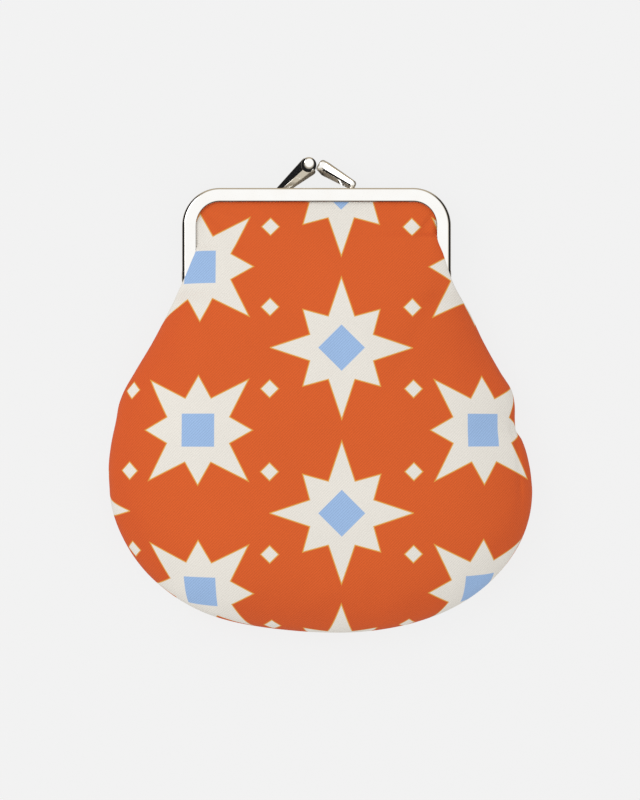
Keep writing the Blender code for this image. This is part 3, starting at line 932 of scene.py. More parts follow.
@dataclass
class Clasp:
    """The two levers: tapered faceted bars that lean towards each other."""

    look: Look
    metal: Metal
    corner: float = 70.0
    head_power: float = 3.6
    head_share: float = 0.98  # how wide the round end is against the facets
    head_depth: float = 1.1
    closing: Pair = (-0.3, 0.7)  # where it takes over, in half-widths past the head's middle
    knob_middle: Pair = (0.1, 0.55)
    knob_flat: float = 1.2
    knob_slope: float = 0.72
    knob_top: float = 2.95
    knob_foot: float = -1.7
    post: tuple = (  # distance over the frame's top and radius
        (-1.4, 0.6), (-1.3, 0.9), (-0.95, 0.95), (-0.9, 0.6), (0.02, 0.62), (0.05, 0.85),
        (0.2, 0.9), (0.35, 0.8), (0.4, 0.6), (0.9, 0.5),
    )
    left: LeverForm = LeverForm(
        foot=(-9.7, 0.03), head=(-2.15, 6.5), foot_half=1.17, head_half=2.25, tip=0.25,
        facets=((30, 1.0), (-10, 1.137), (-68, 1.18), (98, 1.0), (158, 0.9), (-142, 0.9)),
        cut=True, knob=2.15,
    )
    right: LeverForm = LeverForm(
        foot=(9.8, 1.15), head=(2.05, 6.0), foot_half=1.22, head_half=1.86, tip=0.84,
        facets=(
            (0, 0.72), (30, 0.98), (84, 1.0), (142, 1.01), (180, 0.9), (-142, 1.2), (-60, 0.70),
            (-32, 0.695),
        ),
        cut=False, knob=0.0,
    )

    def outline(self, form: LeverForm, length: float) -> tuple[Array, Array]:
        """Places along a lever and its half-width there: even growth and a closed head.

        Args:
            form: The lever's form.
            length: Its length from foot to head.

        Returns:
            Places and half-widths.
        """
        foot, head = form.foot_half, form.head_half
        if form.cut:
            first, first_half = np.array([0.0, 0.05, 0.15]), foot * np.array([0.9, 0.97, 1.0])
        else:
            first, first_half = (foot * arc(0, 1, 9)[1:-1] * (-1, 1)).T
        middle = np.linspace(first[-1] + 0.3, length, 60)
        closing, rising = arc(0, 1, 13)[1:-1].T ** (2 / self.head_power)
        halves = [first_half, np.interp(middle, [0.0, length], [foot, head]), head * closing]
        places = [first, middle, length + form.tip * head * rising]
        return np.concatenate(places), np.concatenate(halves)

    def build(self, side: Side) -> None:
        """One lever.

        Its section's distance from the middle is the sum over the facets of (cosine to the facet
        over its distance) to the power corner, all to the power -1/corner: a polygon with
        slightly rounded corners. It turns into a superellipse over the head. A cut foot's
        outlines are slid along the lever until their heights over the bar are the same, and the
        head's until they stand upright.

        Args:
            side: The half that carries it; the front half's stands on the right.
        """
        top, sign = self.metal.rise, side.value
        form = self.left if side is Side.BACK else self.right
        middle = sign * (self.metal.parting + self.metal.depth / 2)
        place = self.metal.hinge.place
        foot = place(form.foot[0], top + form.foot[1], middle)
        head = place(form.head[0], top + form.head[1], -sign * self.head_depth)
        length = float(np.linalg.norm(head - foot))
        along = (head - foot) / length
        across = np.cross([0.0, 0.0, 1.0], along) * -sign
        across /= np.linalg.norm(across)
        depth = np.cross(along, across) * -sign
        places, halves = self.outline(form, length)
        ray, (tilts, distances) = circle(240), np.array(form.facets, float).T
        facets = np.stack([np.cos(np.radians(tilts)), np.sin(np.radians(tilts))])
        faceted = (np.clip(ray @ facets, 0, None) / distances) ** self.corner
        faceted = faceted.sum(1) ** (-1 / self.corner)
        blunt = (np.abs(ray) ** self.head_power).sum(1) ** (-1 / self.head_power)
        closed = ramp(places, *(length + form.head_half * np.array(self.closing)))[:, None]
        reach = faceted * (1 - closed) + self.head_share * blunt * closed
        growth = (form.head_half - form.foot_half) / length
        flush = form.cut * (1 - ramp(places, 0.0, 0.5 * length))[:, None]
        upright = form.cut * ramp(places, 0.5 * length, length)[:, None]
        out, slide = ray @ np.stack([depth, across]), 0.0
        for _ in range(3):
            offset = (reach * (halves[:, None] + growth * slide))[..., None] * out
            slide = -flush * offset[..., 1] / along[1]
        slide = slide - upright * (offset[..., :2] @ along[:2]) / (along[:2] @ along[:2])
        stations = foot + (places[:, None] + slide)[..., None] * along + offset
        root, axes = place(form.foot[0], top, middle), np.eye(3)[[1, 0, 2]]
        parts = [swept(stations), turned(np.array(self.post), root, axes, 40)]
        parts += [self.knob(head, form.knob)] if form.knob else []
        name = f"lever_{Hand(sign).word}"
        self.look.rigid(name, joined(parts), 30, side.body, f"clasp_{name}")

    def knob(self, head: Array, radius: float) -> Body:
        """A turned knob with a flat off its middle and a chamfer that falls from it to the rim.

        Args:
            head: Middle of the lever's head.
            radius: The knob's radius.

        Returns:
            Points and quads.
        """
        ray, middle, flat = circle(96), np.array(self.knob_middle), self.knob_flat
        along = ray @ middle
        rim = np.sqrt(along**2 + radius**2 - middle @ middle) - along
        rim = np.maximum(rim, flat + 0.22)
        chamfer = self.knob_slope * (rim - flat - 0.03) + 0.025
        tall = self.knob_top - self.knob_foot
        rings = [  # distance from the flat's middle and fall below it
            (0.05, 0.0), (flat - 0.05, 0.0), (flat + 0.03, 0.025), (rim - 0.08, chamfer - 0.058),
            (rim - 0.03, chamfer - 0.015), (rim, chamfer + 0.03), (rim, tall - 0.2),
            (rim - 0.2, tall), (0.05, tall),
        ]
        stations = []
        for reach, fall in rings:
            flat_place = middle + ray * np.reshape(reach, (-1, 1))
            place = np.broadcast_arrays(*flat_place.T, self.knob_top - fall)
            stations.append(head + np.stack(place, 1))
        return swept(np.array(stations))


@dataclass
class Rivet:
    """A hinge rivet: a turned shank with a domed head outside and a flat one inside."""

    look: Look
    metal: Metal
    shank: float = 1.0
    head: float = 1.85
    dome: float = 0.14
    reach: float = 1.75
    tail: tuple = ((-0.45, 0.3), (-0.45, 1.5), (-0.3, 1.75), (0.0, 1.8))  # place and radius

    def build(self, hand: Hand) -> None:
        """The rivet of one arm.

        Args:
            hand: Which arm.
        """
        outer, inner = self.metal.half + 0.02, self.metal.half - self.reach
        tail, dome = (inner, 0.0) + np.array(self.tail), arc(0, 1, 10)[:, ::-1]
        shank = [(inner, self.shank), (outer, self.shank), (outer, self.head)]
        dome = [(outer + 0.04, 0.02)] + dome * (self.dome, self.head)
        middle = self.metal.hinge.place(0.0, 0.0, 0.0)
        shape = np.concatenate([tail, shank, dome])
        shape = turned(shape, middle, np.diag([hand.value, 1, 1]), 48)
        name = f"rivet_{hand.word}"
        self.look.rigid(name, shape, 35, "back_half", f"hinge_{name}")


@dataclass
class PaperCord:
    """Paper cord pressed into the channel: three strands twisted round each other."""

    look: Look
    metal: Metal
    radius: float = 0.62
    bulge: float = 0.14
    strands: int = 3
    pitch: float = 2.4
    room: float = 0.65  # half the room that the cord takes
    clear: float = 0.1
    cloth: float = 1.1  # layers between the cord and the channel's wall
    end: float = 8.2
    rings: int = 420
    points: int = 18

    def build(self, side: Side) -> None:
        """The cord of one half.

        Each section is a trefoil, radius times (1 - bulge + bulge x cos(strands x angle)), turned
        by a full turn every pitch along the path.

        Args:
            side: Which half.
        """
        sheet = self.metal.sheet
        line, _ = self.metal.path(sheet + self.cloth + self.room, self.end)
        run = np.linalg.norm(np.diff(line, axis=0), axis=1).sum()
        line = resampled(line, np.linspace(0, 1, self.rings))
        tangent = np.gradient(line, axis=0)
        tangent /= np.linalg.norm(tangent, axis=1, keepdims=True)
        angle = np.linspace(0, 2 * math.pi, self.points, endpoint=False)
        spin = np.linspace(0, run, self.rings)[:, None] * 2 * math.pi / self.pitch
        bulge = self.bulge * np.cos(self.strands * (angle - spin))
        reach = self.radius * (1 - self.bulge + bulge)
        out = reach * np.cos(angle)
        height = side.value * (self.metal.parting + sheet + self.clear + self.room)
        rings = self.metal.hinge.place(
            line[:, :1] - tangent[:, 1:] * out,
            line[:, 1:] + tangent[:, :1] * out,
            height + reach * np.sin(angle),
        )
        name, node = f"{side.word}_cord", f"{side.word}_paper_cord"
        self.look.rigid(name, swept(rings), 60, side.body, node)


# ---------------------------------------------------------------- bag

ROW_GATHER, COLUMN_GATHER = 0.35, 0.55


def widened(grid: Array, rows: int, columns: int) -> Array:
    """Numbers on a panel's coarse grid read on a finer one, cubic in both directions."""
    for count, gather in ((rows, ROW_GATHER), (columns, COLUMN_GATHER)):
        grid = through(gathered(count, gather), gathered(len(grid), gather), grid).T
    return grid


def blurred(grid: Array, rounds: int) -> Array:
    """A grid of numbers, each replaced again and again by the mean of itself and its neighbours.

    Args:
        grid: The numbers.
        rounds: How often.

    Returns:
        The smoothed numbers.
    """
    for _ in range(rounds):
        wide = np.pad(grid, 1, mode="edge")
        around = wide[:-2, 1:-1] + wide[2:, 1:-1] + wide[1:-1, :-2] + wide[1:-1, 2:]
        grid = (grid + around) / 5
    return grid


@dataclass(frozen=True)
class Settling:
    """Cloth simulation of a panel: a copy ten times as large, held at its seam and in the frame.

    The cloth is cut a little larger than its form and pushed outwards, as padding does.
    """

    rows: int = 84
    columns: int = 72
    frames: int = 20
    growth: float = 10.0
    slack: float = 0.03
    pressure: float = 4.0
    quality: int = 8
    stiffness: float = 1.5
    held: float = -12.0  # rise above which the cloth is held
    free: float = -24.0  # rise below which all of the relief is kept
    cap: float = 0.32
    blur: int = 60

    def moved(self, form: BagForm, side: Side, face: Array, finish: bpy.types.Material) -> Array:
        """How far the cloth moved outwards, in millimetres.

        Args:
            form: The bag's form.
            side: Front or back.
            face: Points of the panel, rows x columns x 3.
            finish: A material for the copy.

        Returns:
            Heights, rows x columns.
        """
        points, index = face.reshape(-1, 3) * self.growth, numbered(self.rows, self.columns)
        quads = grid_quads(index)[:, :: -side.value]
        copy = build_object("settling_copy", (points, quads), finish, closed=False)
        above = face[:, self.columns // 2, 1] > form.hinge.y + self.held
        held = np.concatenate([index[above].ravel(), index[:, 0], index[:, -1], index[-1]])
        copy.vertex_groups.new(name="held").add(np.unique(held).tolist(), 1.0, "REPLACE")
        cloth = copy.modifiers.new("cloth", "CLOTH")
        settings = cloth.settings
        settings.quality, settings.vertex_group_mass = self.quality, "held"
        settings.bending_stiffness, settings.shrink_min = self.stiffness, -self.slack
        settings.use_pressure, settings.uniform_pressure_force = True, self.pressure
        settings.effector_weights.gravity = 0.0
        cloth.collision_settings.use_collision = False
        cloth.point_cache.frame_start, cloth.point_cache.frame_end = 1, self.frames
        scene = bpy.context.scene
        for frame in range(1, self.frames + 1):
            scene.frame_set(frame)
        settled = copy.evaluated_get(bpy.context.evaluated_depsgraph_get()).to_mesh()
        places = np.empty(len(points) * 3, np.float32)
        settled.vertices.foreach_get("co", places)
        bpy.data.objects.remove(copy, do_unlink=True)
        scene.frame_set(1)
        height = (places.reshape(-1, 3)[:, 2] / MM - points[:, 2]) * side.value / self.growth
        LOG.info("%s settled, moved up to %.2f mm", side.word, float(np.abs(height).max()))
        return height.reshape(self.rows, self.columns)

    def relief(self, form: BagForm, side: Side, finish: bpy.types.Material) -> Array:
        """Heights by which the cloth moved, without its broad swelling, capped and smoothed.

        Args:
            form: The bag's form.
            side: Front or back.
            finish: A material for the copy.

        Returns:
            Heights in millimetres, rows x columns.
        """
        face = form.face(side, self.rows, self.columns, 0.0, 0.0)
        height = self.moved(form, side, face, finish)
        fine = height - blurred(height, self.blur)
        x, rise = face[..., 0], face[..., 1] - form.hinge.y
        fade = ramp(-rise, -self.held, -self.free) * form.inside(x, rise)
        return self.cap * np.tanh(blurred(fine, 2) / self.cap) * fade


def table(*rows: Pair) -> Array:
    """A dataclass field that holds rows of numbers as an array."""
    return field(default_factory=lambda: np.array(rows))


@dataclass(frozen=True)
class Folds:
    """The outer cloth's folds; places are (x, rise) on the right and mirrored on the left.

    A run is where a fold grows and where it fades on its way down, below its place at the hinge
    and below the axis at the seam.
    """

    corner_place: Pair = (33.0, 19.0)
    corner_ring: Pair = (6.0, 7.0)  # distance from the place at the creases' highest, and width
    corner_height: float = 0.20
    corner_waves: float = 9.0
    corner_shift: float = 0.8
    hinge_place: Pair = (35.0, -3.0)
    hinge_across: Pair = (0.88, 0.47)
    hinge_width: float = 2.6
    hinge_depth: float = 0.35
    hinge_run: tuple[Pair, Pair] = ((-6.0, 4.0), (18.0, 34.0))
    seam_inset: float = 0.5
    seam_drift: float = 3.1  # how much farther inwards the roll ends, and where it drifts
    seam_drift_run: Pair = (34.0, 60.0)
    seam_width: float = 0.6
    seam_depth: float = 0.55
    seam_run: tuple[Pair, Pair] = ((36.0, 41.0), (58.0, 68.0))
    under_mouth: Pair = (0.2, 5.0)  # how far below the mouth's top all folds start and are full
    back_share: float = 0.5
    inner_share: float = 0.5  # on faces that lie at least so deep below the outer one
    inner_depth: float = 1.0

    def corner(self, x: Array, rise: Array, hand: Hand) -> Array:
        """Creases inside the frame's corner: a sine round it, under a bell over the distance.

        Args:
            x: Places across.
            rise: Heights over the axis.
            hand: Left or right corner.

        Returns:
            Heights to add.
        """
        dx, dy = self.corner_place[0] - hand.value * x, self.corner_place[1] - rise
        reach, width = self.corner_ring
        wave = np.sin(self.corner_waves * np.arctan2(dy, dx) + self.corner_shift * hand.value)
        return self.corner_height * wave * bell((np.hypot(dx, dy) - reach) / width)

    def hinge(self, x: Array, rise: Array, hand: Hand) -> Array:
        """The fold that runs down from the hinge: a bell across a slanting line.

        Args:
            x: Places across.
            rise: Heights over the axis.
            hand: Left or right hinge.

        Returns:
            Depths to take away.
        """
        dx, down = hand.value * x - self.hinge_place[0], self.hinge_place[1] - rise
        across = dx * self.hinge_across[0] + down * self.hinge_across[1]
        depth = self.hinge_depth * bell(across / self.hinge_width)
        return depth * window(down, *self.hinge_run)

    def seam(self, inside: Array, rise: Array) -> Array:
        """Depth of the seam's roll on the right: a bell over the distance inwards."""
        inside = inside - self.seam_inset - self.seam_drift * ramp(-rise, *self.seam_drift_run)
        return self.seam_depth * bell(inside / self.seam_width) * window(-rise, *self.seam_run)


@dataclass
class BagForm:
    """The bag's outer form, in millimetres from the hinge axis.

    The outline is a hold in the channel, a flank read from measured half-widths on the left and
    on the right, and a superellipse below the widest line.
    """

    hinge: Hinge
    folds: Folds = Folds()
    grip_radius: float = 8.6
    mouth_top: float = 20.3
    lip_radius: float = 6.3
    bend_x: float = 27.0
    bend_rise: float = 14.0
    wide: float = -59.5
    bottom: float = -99.3
    roundness: float = 2.13
    lean: float = 1.0
    hold_left: float = 7.2
    hold_right: float = 10.8
    hold_over: float = 1.3
    grip_height: float = 3.65
    arm_height: float = 4.85
    arm_start: float = -9.2
    arm_full: float = -2.7
    seam_height: float = 0.04
    front_belly: float = 15.3
    back_belly: float = 9.75
    crown_power: float = 2.4
    crown_start: float = 7.5
    pressed: float = 4.0
    eased: float = 0.5  # roundness where the back leaves the table
    rim_start: float = 0.90  # nearness from which the back's edge comes free of the table
    neck: Pair = (-13.0, -3.5)
    middle: float = -45.0
    left: Array = table(  # rise and half-width
        (-60.3, 57.9), (-53.4, 58.2), (-46.4, 57.4), (-40.8, 56.2), (-35.2, 55.1), (-32.4, 54.0),
        (-26.9, 50.9), (-18.5, 45.9), (-10.1, 41.5), (-2.3, 37.6), (4.0, 34.9), (7.6, 33.57),
        (8.4, 33.57), (9.2, 34.6), (10.0, 35.6), (14.0, 35.6),
    )
    right: Array = table(
        (-60.3, 60.5), (-53.4, 59.7), (-46.9, 57.95), (-45.6, 57.4), (-43.2, 55.8), (-41.4, 55.6),
        (-35.2, 55.4), (-32.4, 54.8), (-26.9, 51.5), (-18.5, 46.8), (-10.1, 42.8), (-2.3, 38.25),
        (1.6, 36.8), (6.0, 35.4), (11.2, 33.57), (12.0, 33.57), (12.8, 34.6), (13.6, 35.6),
        (14.0, 35.6),
    )
    fullness: Array = table(  # degrees round the bottom, and share
        (0, 1.0), (30, 1.003), (60, 1.0195), (80, 1.018), (100, 1.006), (122, 1.0195),
        (140, 1.004), (160, 0.99), (180, 1.0),
    )
    reliefs: dict[Side, Array] = field(default_factory=dict)

    def hold(self, rise: Array, x: Array | float) -> Array:
        """1 where the channel holds the edge, 0 below it; it starts higher on the right."""
        start = np.where(np.asarray(x) > 0, self.hold_right, self.hold_left)
        return ramp(rise, start, start + self.hold_over)

    def full(self, turn: Array) -> Array:
        """The bottom curve's measured distance over the superellipse's, at angles in radians."""
        return through(np.degrees(turn), *self.fullness.T)

    def sides(self, rise: Array, depth: Array | float) -> tuple[Array, Array]:
        """Half-widths on the left and right, inset by the layer's depth below the channel."""
        pairs = ((self.left, -1.0), (self.right, 1.0))
        return tuple(through(rise, *t.T) - depth * (1 - self.hold(rise, x)) for t, x in pairs)

    def widest(self) -> Pair:
        """Centre and half-width of the widest line."""
        left, right = self.sides(np.array([self.wide]), 0.0)
        return float(right[0] - left[0]) / 2, float(right[0] + left[0]) / 2

    def curve(self, angle: Array, depth: float) -> Array:
        """The bottom curve: a superellipse, a little fuller in places, that leans as it goes down.

        Args:
            angle: Angles, 0 at the right end of the widest line and -pi at its left end.
            depth: The layer's depth below the outer face.

        Returns:
            Points (x, rise).
        """
        centre, half = self.widest()
        power, full = 2 / self.roundness, self.full(-angle)
        drop = np.abs(np.sin(angle)) ** power * full
        x = np.sign(np.cos(angle)) * np.abs(np.cos(angle)) ** power * full * (half - depth)
        down = (self.wide - self.bottom - depth) * drop
        return np.stack([x + centre + self.lean * drop**2, self.wide - down], 1)

    def edges(self, depth: float) -> tuple[Array, Array, Array, Array]:
        """The four border lines of the panel: top, bottom, left and right.

        Args:
            depth: The layer's depth below the outer face.

        Returns:
            Polylines; top and bottom run left to right, the others downwards.
        """
        bend, corner_arc = (
            arc(1.5, end, 16) * self.grip_radius + (-self.bend_x, self.bend_rise) for end in (1, 2)
        )
        flip = np.array([-1.0, 1.0])
        rise = np.linspace(self.bend_rise, self.wide, 240)[1:]
        left, right = self.sides(rise, depth)
        sweep = np.linspace(0.0, -0.25 * math.pi, 60)[1:]
        low_left, low_right = self.curve(-math.pi - sweep, depth), self.curve(sweep, depth)
        return (
            np.concatenate([bend, bend[::-1] * flip]),
            self.curve(np.linspace(-0.75 * math.pi, -0.25 * math.pi, 120), depth),
            np.concatenate([corner_arc, np.stack([-left, rise], 1), low_left]),
            np.concatenate([corner_arc * flip, np.stack([right, rise], 1), low_right]),
        )

    def plan(self, rows: int, columns: int, depth: float) -> Array:
        """A grid over the panel: the Coons patch of its four borders.

        Args:
            rows: Rows of points, top to bottom.
            columns: Points across.
            depth: The layer's depth below the outer face.

        Returns:
            Points (x, rise), rows x columns x 2.
        """
        u, v = gathered(columns, COLUMN_GATHER), gathered(rows, ROW_GATHER)
        top, bottom, left, right = self.edges(depth)
        top, bottom = resampled(top, u)[None], resampled(bottom, u)[None]
        left, right = resampled(left, v)[:, None], resampled(right, v)[:, None]
        u, v = u[None, :, None], v[:, None, None]
        ruled = (1 - v) * top + v * bottom + (1 - u) * left + u * right
        corners = (1 - u) * ((1 - v) * top[:, :1] + v * bottom[:, :1])
        return ruled - corners - u * ((1 - v) * top[:, -1:] + v * bottom[:, -1:])

    def nearness(self, x: Array, rise: Array, depth: Array | float) -> Array:
        """How near a place is to the bag's edge: 0 in the middle and 1 at the edge.

        Args:
            x: Places across.
            rise: Heights over the axis.
            depth: The layer's depth below the outer face.

        Returns:
            The nearness of each place.
        """
        left, right = self.sides(np.maximum(rise, self.wide), depth)
        over = np.clip(rise - self.bend_rise, 0, self.lip_radius)
        lip = self.bend_x + np.sqrt(self.lip_radius**2 - over**2)
        half = np.where(x < 0, left, right)
        half = half + (np.minimum(lip, half) - half) * self.hold(rise, x)
        centre, wide_half = self.widest()
        down = np.clip((self.wide - rise) / (self.wide - self.bottom - depth), 0, 2)
        away = (x - centre - self.lean * down**2) / (wide_half - depth)
        n, across = self.roundness, np.clip(np.abs(away), 0, 2)
        turn = np.arctan2(down ** (n / 2), np.sign(away) * across ** (n / 2))
        low = (across**n + down**n) ** (1 / n) / self.full(turn)
        return np.clip(np.where(rise < self.wide, low, np.abs(x) / half), 0, 1)

    def inside(self, x: Array, rise: Array) -> Array:
        """1 over the panel, fading to 0 just inside its edge."""
        return 1 - ramp(self.nearness(x, rise, 0.0), 0.93, 0.99)

    def height(self, x: Array, rise: Array, side: Side, depth: Array | float) -> Array:
        """Distance of a layer's face from the hinge plane.

        The edge lies at the seam, over the arms or in the channel; between the edges the face
        swells to a crown, (1 - nearness^power)^soft, and the crown is a parabola from the
        channel's mouth to the belly. The back is pressed flat where it lies on the table.

        Args:
            x: Places across.
            rise: Heights over the axis.
            side: Front or back.
            depth: The layer's depth below the outer face.

        Returns:
            The distances.
        """
        hold = self.hold(rise, x)
        arm = ramp(rise, self.arm_start, self.arm_full)
        rim = self.seam_height + (self.arm_height - self.seam_height) * arm
        rim = rim + (self.grip_height - self.arm_height) * hold
        low = rim - depth * hold
        belly = self.front_belly if side is Side.FRONT else self.back_belly
        share = np.clip((rise - self.wide) / (self.mouth_top - self.wide), 0, 1)
        high = self.grip_height + (belly - self.grip_height) * (1 - share**2) - depth
        near = self.nearness(x, rise, depth)
        soft = (rise - self.crown_start) / (self.mouth_top - self.crown_start)
        soft = 0.5 + 0.5 * np.clip(soft, 0, 1)
        lifted = low + (high - low) * (1 - near**self.crown_power) ** soft
        if side is Side.FRONT:
            return lifted
        floor = self.hinge.z - depth
        pressed = np.clip(floor - lifted, -self.pressed, self.pressed)
        flat = floor - 0.5 * (pressed + np.sqrt(pressed**2 + self.eased))
        flat = np.where(near > 0.999, np.minimum(low, floor), flat)
        edge = ramp(near, self.rim_start, 1.0)
        return flat * (1 - edge) + np.minimum(lifted, floor) * edge

    def folded(self, x: Array, rise: Array, side: Side) -> Array:
        """Height of the folds, which are lower on the back.

        Args:
            x: Places across.
            rise: Heights over the axis.
            side: Front or back.

        Returns:
            Heights to add, in millimetres.
        """
        made, inside = np.zeros_like(x), self.inside(x, rise)
        for hand in Hand:
            made = made + self.folds.corner(x, rise, hand) * (rise < self.mouth_top)
            made = made - self.folds.hinge(x, rise, hand) * inside
        if side is Side.FRONT:
            _, right = self.sides(np.maximum(rise, self.wide), 0.0)
            made = made - self.folds.seam(right - x, rise)
        made = made * ramp(self.mouth_top - rise, *self.folds.under_mouth)
        return made * (1.0 if side is Side.FRONT else self.folds.back_share)

    def face(self, side: Side, rows: int, columns: int, depth: float, neck_depth: float) -> Array:
        """One face of a layer as a grid of points.

        Args:
            side: Front or back.
            rows: Rows of points.
            columns: Points in a row.
            depth: Depth below the outer face in the belly.
            neck_depth: The same in the neck and the channel.

        Returns:
            Points, rows x columns x 3.
        """
        x, rise = np.moveaxis(self.plan(rows, columns, depth), -1, 0)
        deep = depth + (neck_depth - depth) * ramp(rise, *self.neck)
        height = self.height(x, rise, side, deep)
        folds = self.folded(x, rise, side)
        folds = folds * (1.0 if depth < self.folds.inner_depth else self.folds.inner_share)
        if side in self.reliefs:
            folds = folds + widened(self.reliefs[side], rows, columns)
        if side is Side.BACK:
            folds = np.minimum(folds, np.maximum(self.hinge.z - deep - height, 0))
        return self.hinge.place(x, rise, side.value * (height + folds))

    def cloth_uv(self, face: Array, side: Side) -> Array:
        """Places on the flat cloth: each point's distance along the surface from the middle.

        The distance is summed over a straight spoke in plan from the belly's middle, with the
        surface's own height, so the print narrows towards the edges as on a real bag.

        Args:
            face: Points of the face.
            side: Front or back.

        Returns:
            Two coordinates for each point.
        """
        x, away = face[..., 0].ravel(), face[..., 1].ravel() - self.hinge.y - self.middle
        share = np.sin(np.linspace(0, math.pi / 2, 28))[:, None]
        height = self.height(x * share, self.middle + away * share, side, 0.0)
        spoke = np.stack([x * share, away * share, height])
        steps = np.sqrt((np.diff(spoke, axis=1) ** 2).sum(0))
        stretch = steps.sum(0) / np.maximum(np.hypot(x, away), 1e-6)
        return np.stack([x * stretch * side.value, away * stretch], 1) / SPAN + 0.5


@dataclass(frozen=True)
class LayerForm:
    """A layer's names and, in the belly and in the neck, the depths of its two faces."""

    piece: str
    node: str
    belly: Pair
    neck: Pair
    coarseness: int = 2


class Layer(Enum):
    """Layers of the bag."""

    OUTER = LayerForm("outer", "outer_cloth", (0.0, 0.5), (0.0, 0.5), 1)
    LINING = LayerForm("lining", "lining", (2.1, 2.5), (0.8, 1.3))
    PADDING = LayerForm("fleece", "padding", (0.8, 1.8), (0.8, 1.8))


@dataclass
class Bag:
    """The soft part: outer cloth, padding and lining, front and back."""

    form: BagForm
    looks: dict[Layer, Look]
    rows: int = 150
    columns: int = 130
    fold_start: float = -9.0
    fold_end: float = 4.5
    padding_top: float = -14.0

    def layer(self, side: Side, layer: Layer) -> bpy.types.Object:
        """One closed layer; the padding fills only the belly, below the hinge.

        Args:
            side: Front or back.
            layer: Which layer.

        Returns:
            The piece.
        """
        form, uv = layer.value, None
        rows, columns = self.rows // form.coarseness, self.columns // form.coarseness
        depths = zip(form.belly, form.neck)
        faces = [self.form.face(side, rows, columns, *depth) for depth in depths]
        if layer is Layer.PADDING:
            below = faces[0][:, columns // 2, 1] < self.form.hinge.y + self.padding_top
            faces = [face[int(np.argmax(below)) :] for face in faces]
        else:
            uv = np.tile(self.form.cloth_uv(faces[0], side), (2, 1))
        name, body = f"{side.word}_{form.piece}", shell(*faces, flip=side is Side.FRONT)
        return build_object(name, body, self.looks[layer].material, 60, uv)

    def build(self) -> None:
        """All pieces of the bag; the back's layers and the padding ride on the back half, the
        front's cloth and lining stay fixed.
        """
        start, end = (
            tuple(self.form.hinge.place(0, rise, 0) * MM)
            for rise in (self.fold_start, self.fold_end)
        )
        cotton = self.looks[Layer.OUTER].material
        reliefs = {side: Settling().relief(self.form, side, cotton) for side in Side}
        self.form.reliefs.update(reliefs)
        for side in Side:
            for layer in Layer:
                piece, node = self.layer(side, layer), f"{side.word}_{layer.value.node}"
                if side is Side.BACK or layer is Layer.PADDING:
                    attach(piece, "back_half")
                    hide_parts(node)
                else:
                    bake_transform(piece)
                    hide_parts(node, f"{node}_yoke")


# ---------------------------------------------------------------- studio


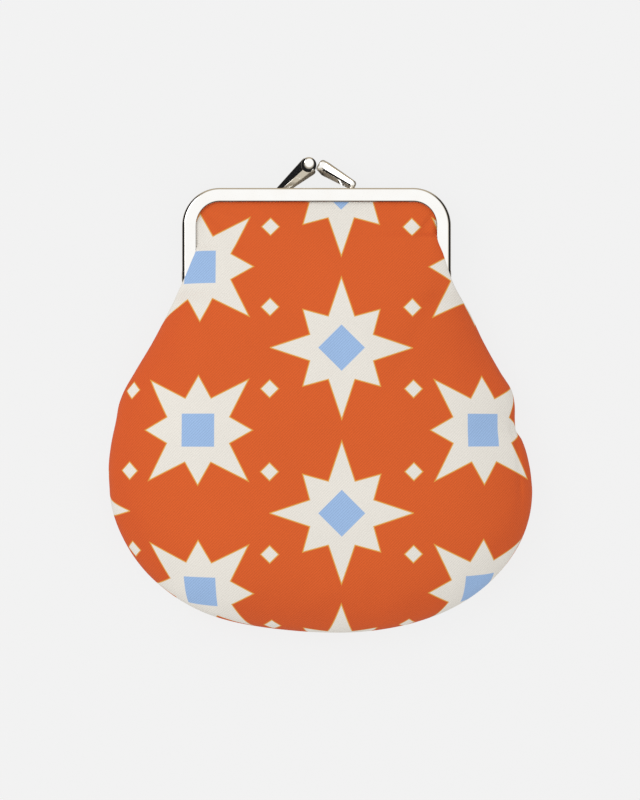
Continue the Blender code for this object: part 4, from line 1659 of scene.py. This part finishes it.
@dataclass
class Studio:
    """Pale floor, soft light and the camera straight over the purse."""

    lens: float = 200.0
    sensor: float = 36.0
    mm_per_pixel: float = 0.279
    frame_pixels: int = 800
    aim: Pair = (0.98, -1.46)
    level: float = 11.3
    backdrop: Colour = (0.887, 0.887, 0.887, 1.0)
    floor_grey: Colour = (0.78, 0.78, 0.78, 1.0)
    # painted reflection: a dark brown that the floor shows only in reflections, so the metal
    # mirrors it dark
    floor_mirrored: Colour = (0.30, 0.26, 0.21, 1.0)
    floor_half: float = 3000.0
    floor_level: float = -0.3
    floor_glow: float = 1.016
    floor_plain: float = 0.92  # share of the floor that the shadow doesn't reach
    sky: Colour = (0.80, 0.80, 0.80, 1.0)
    room: Colour = (0.012, 0.012, 0.013, 1.0)
    window: Colour = (0.48, 0.40, 0.28, 1.0)
    window_edge: Pair = (0.68, 0.86)  # how far a direction points to +Y
    horizon: Colour = (0.32, 0.31, 0.30, 1.0)
    horizon_edge: Pair = (0.04, 0.18)  # how far it points up
    bands: tuple = (  # the same for the bands overhead, and their colours
        (0.50, 0.62, (0.60, 0.55, 0.46, 1.0)),
        (0.74, 0.92, (1.0, 1.0, 0.995, 1.0)),
    )
    lamp_size: float = 1.0
    lamp_power: float = 7.5
    lamp_place: tuple[float, float, float] = (-1.15, 0.63, 1.4)

    def floor(self) -> None:
        """A wide floor that shows the backdrop's colour and keeps most of the shadow."""
        made = bpy.data.materials.new("studio_floor")
        graph = Graph(made)
        # painted reflection: glossy rays see the floor dark brown instead of its grey
        grey = graph.ray("Glossy").mix(self.floor_grey, self.floor_mirrored)
        diffuse = graph.signal("BsdfDiffuse", Color=grey)
        glow = graph.signal("Emission", Color=self.backdrop, Strength=self.floor_glow)
        mixed = graph.signal("MixShader", graph.ray("Camera") * self.floor_plain, diffuse, glow)
        graph.node("OutputMaterial", Surface=mixed)
        points = np.array([(-1, -1, 0), (1, -1, 0), (1, 1, 0), (-1, 1, 0)]) * self.floor_half
        body = points + (0, 0, self.floor_level), np.array([[0, 1, 2, 3]])
        build_object("studio_floor", body, made, closed=False)

    def light(self) -> None:
        """An even sky, dark near the horizon in reflections only, and a large soft lamp."""
        world = bpy.data.worlds.new("studio_sky")
        bpy.context.scene.world = world
        graph = Graph(world)
        where = graph.signal("TexCoord", output="Generated")
        parts = graph.node("SeparateXYZ", where).outputs[1:]
        ahead, up = (Signal(graph, part) for part in parts)
        mirrored = ahead.step(*self.window_edge).mix(self.room, self.window)
        mirrored = up.step(*self.horizon_edge).mix(self.horizon, mirrored)
        for low, high, band in self.bands:
            mirrored = up.step(low, high).mix(mirrored, band)
        colour = graph.ray("Glossy").mix(self.sky, mirrored)
        colour = graph.ray("Camera").mix(colour, self.backdrop)
        graph.node("OutputWorld", Surface=graph.signal("Background", Color=colour))
        lamp = bpy.data.lights.new("soft_lamp", "AREA")
        lamp.shape, lamp.energy = "RECTANGLE", self.lamp_power
        lamp.size = lamp.size_y = self.lamp_size
        holder = bpy.data.objects.new("soft_lamp", lamp)
        holder.location = self.lamp_place
        holder.rotation_euler = (-Vector(self.lamp_place)).to_track_quat("-Z", "Y").to_euler()
        bpy.context.scene.collection.objects.link(holder)

    def camera(self) -> None:
        """The camera, looking straight down with the clasp upwards in the image."""
        data = bpy.data.cameras.new("camera")
        data.lens, data.sensor_width = self.lens, self.sensor
        data.clip_start, data.clip_end = 0.05, 20.0
        holder = bpy.data.objects.new("camera", data)
        distance = self.frame_pixels * self.mm_per_pixel * self.lens / self.sensor
        holder.location = np.array([*self.aim, self.level + distance]) * MM
        bpy.context.scene.collection.objects.link(holder)
        bpy.context.scene.camera = holder

    def build(self) -> None:
        """Floor, light, camera and colour handling."""
        self.camera()
        self.floor()
        self.light()
        bpy.context.scene.view_settings.view_transform = "Standard"


def main() -> None:
    """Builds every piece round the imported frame."""
    logging.basicConfig(level=logging.INFO, format="%(name)s: %(message)s")
    for obj in list(bpy.data.objects):
        bpy.data.objects.remove(obj, do_unlink=True)
    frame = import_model()
    axis = next(joint for joint in frame["joints"] if joint["name"] == "frame_hinge")
    hinge = Hinge(*(np.array(axis["pos_m"][1:]) / MM))
    Studio().build()
    nickel = Look("nickel", Nickel().material("polished_nickel"))
    metal = Metal(nickel, hinge)
    clasp = Clasp(nickel, metal)
    cord = PaperCord(Look("paper", KRAFT.material("kraft_paper")), metal)
    for side in Side:
        metal.build(side)
        clasp.build(side)
        cord.build(side)
    for hand in Hand:
        Rivet(nickel, metal).build(hand)
    lining = Cloth(pitch=0.4, depth=0.00004).material("cream_cotton")
    looks = {
        Layer.OUTER: Look("cotton", Cloth(print_=Print()).material("printed_cotton")),
        Layer.LINING: Look("lining", lining),
        Layer.PADDING: Look("fleece", FLEECE.material("padding_fleece")),
    }
    Bag(BagForm(hinge), looks).build()


if __name__ == "__main__":
    main()
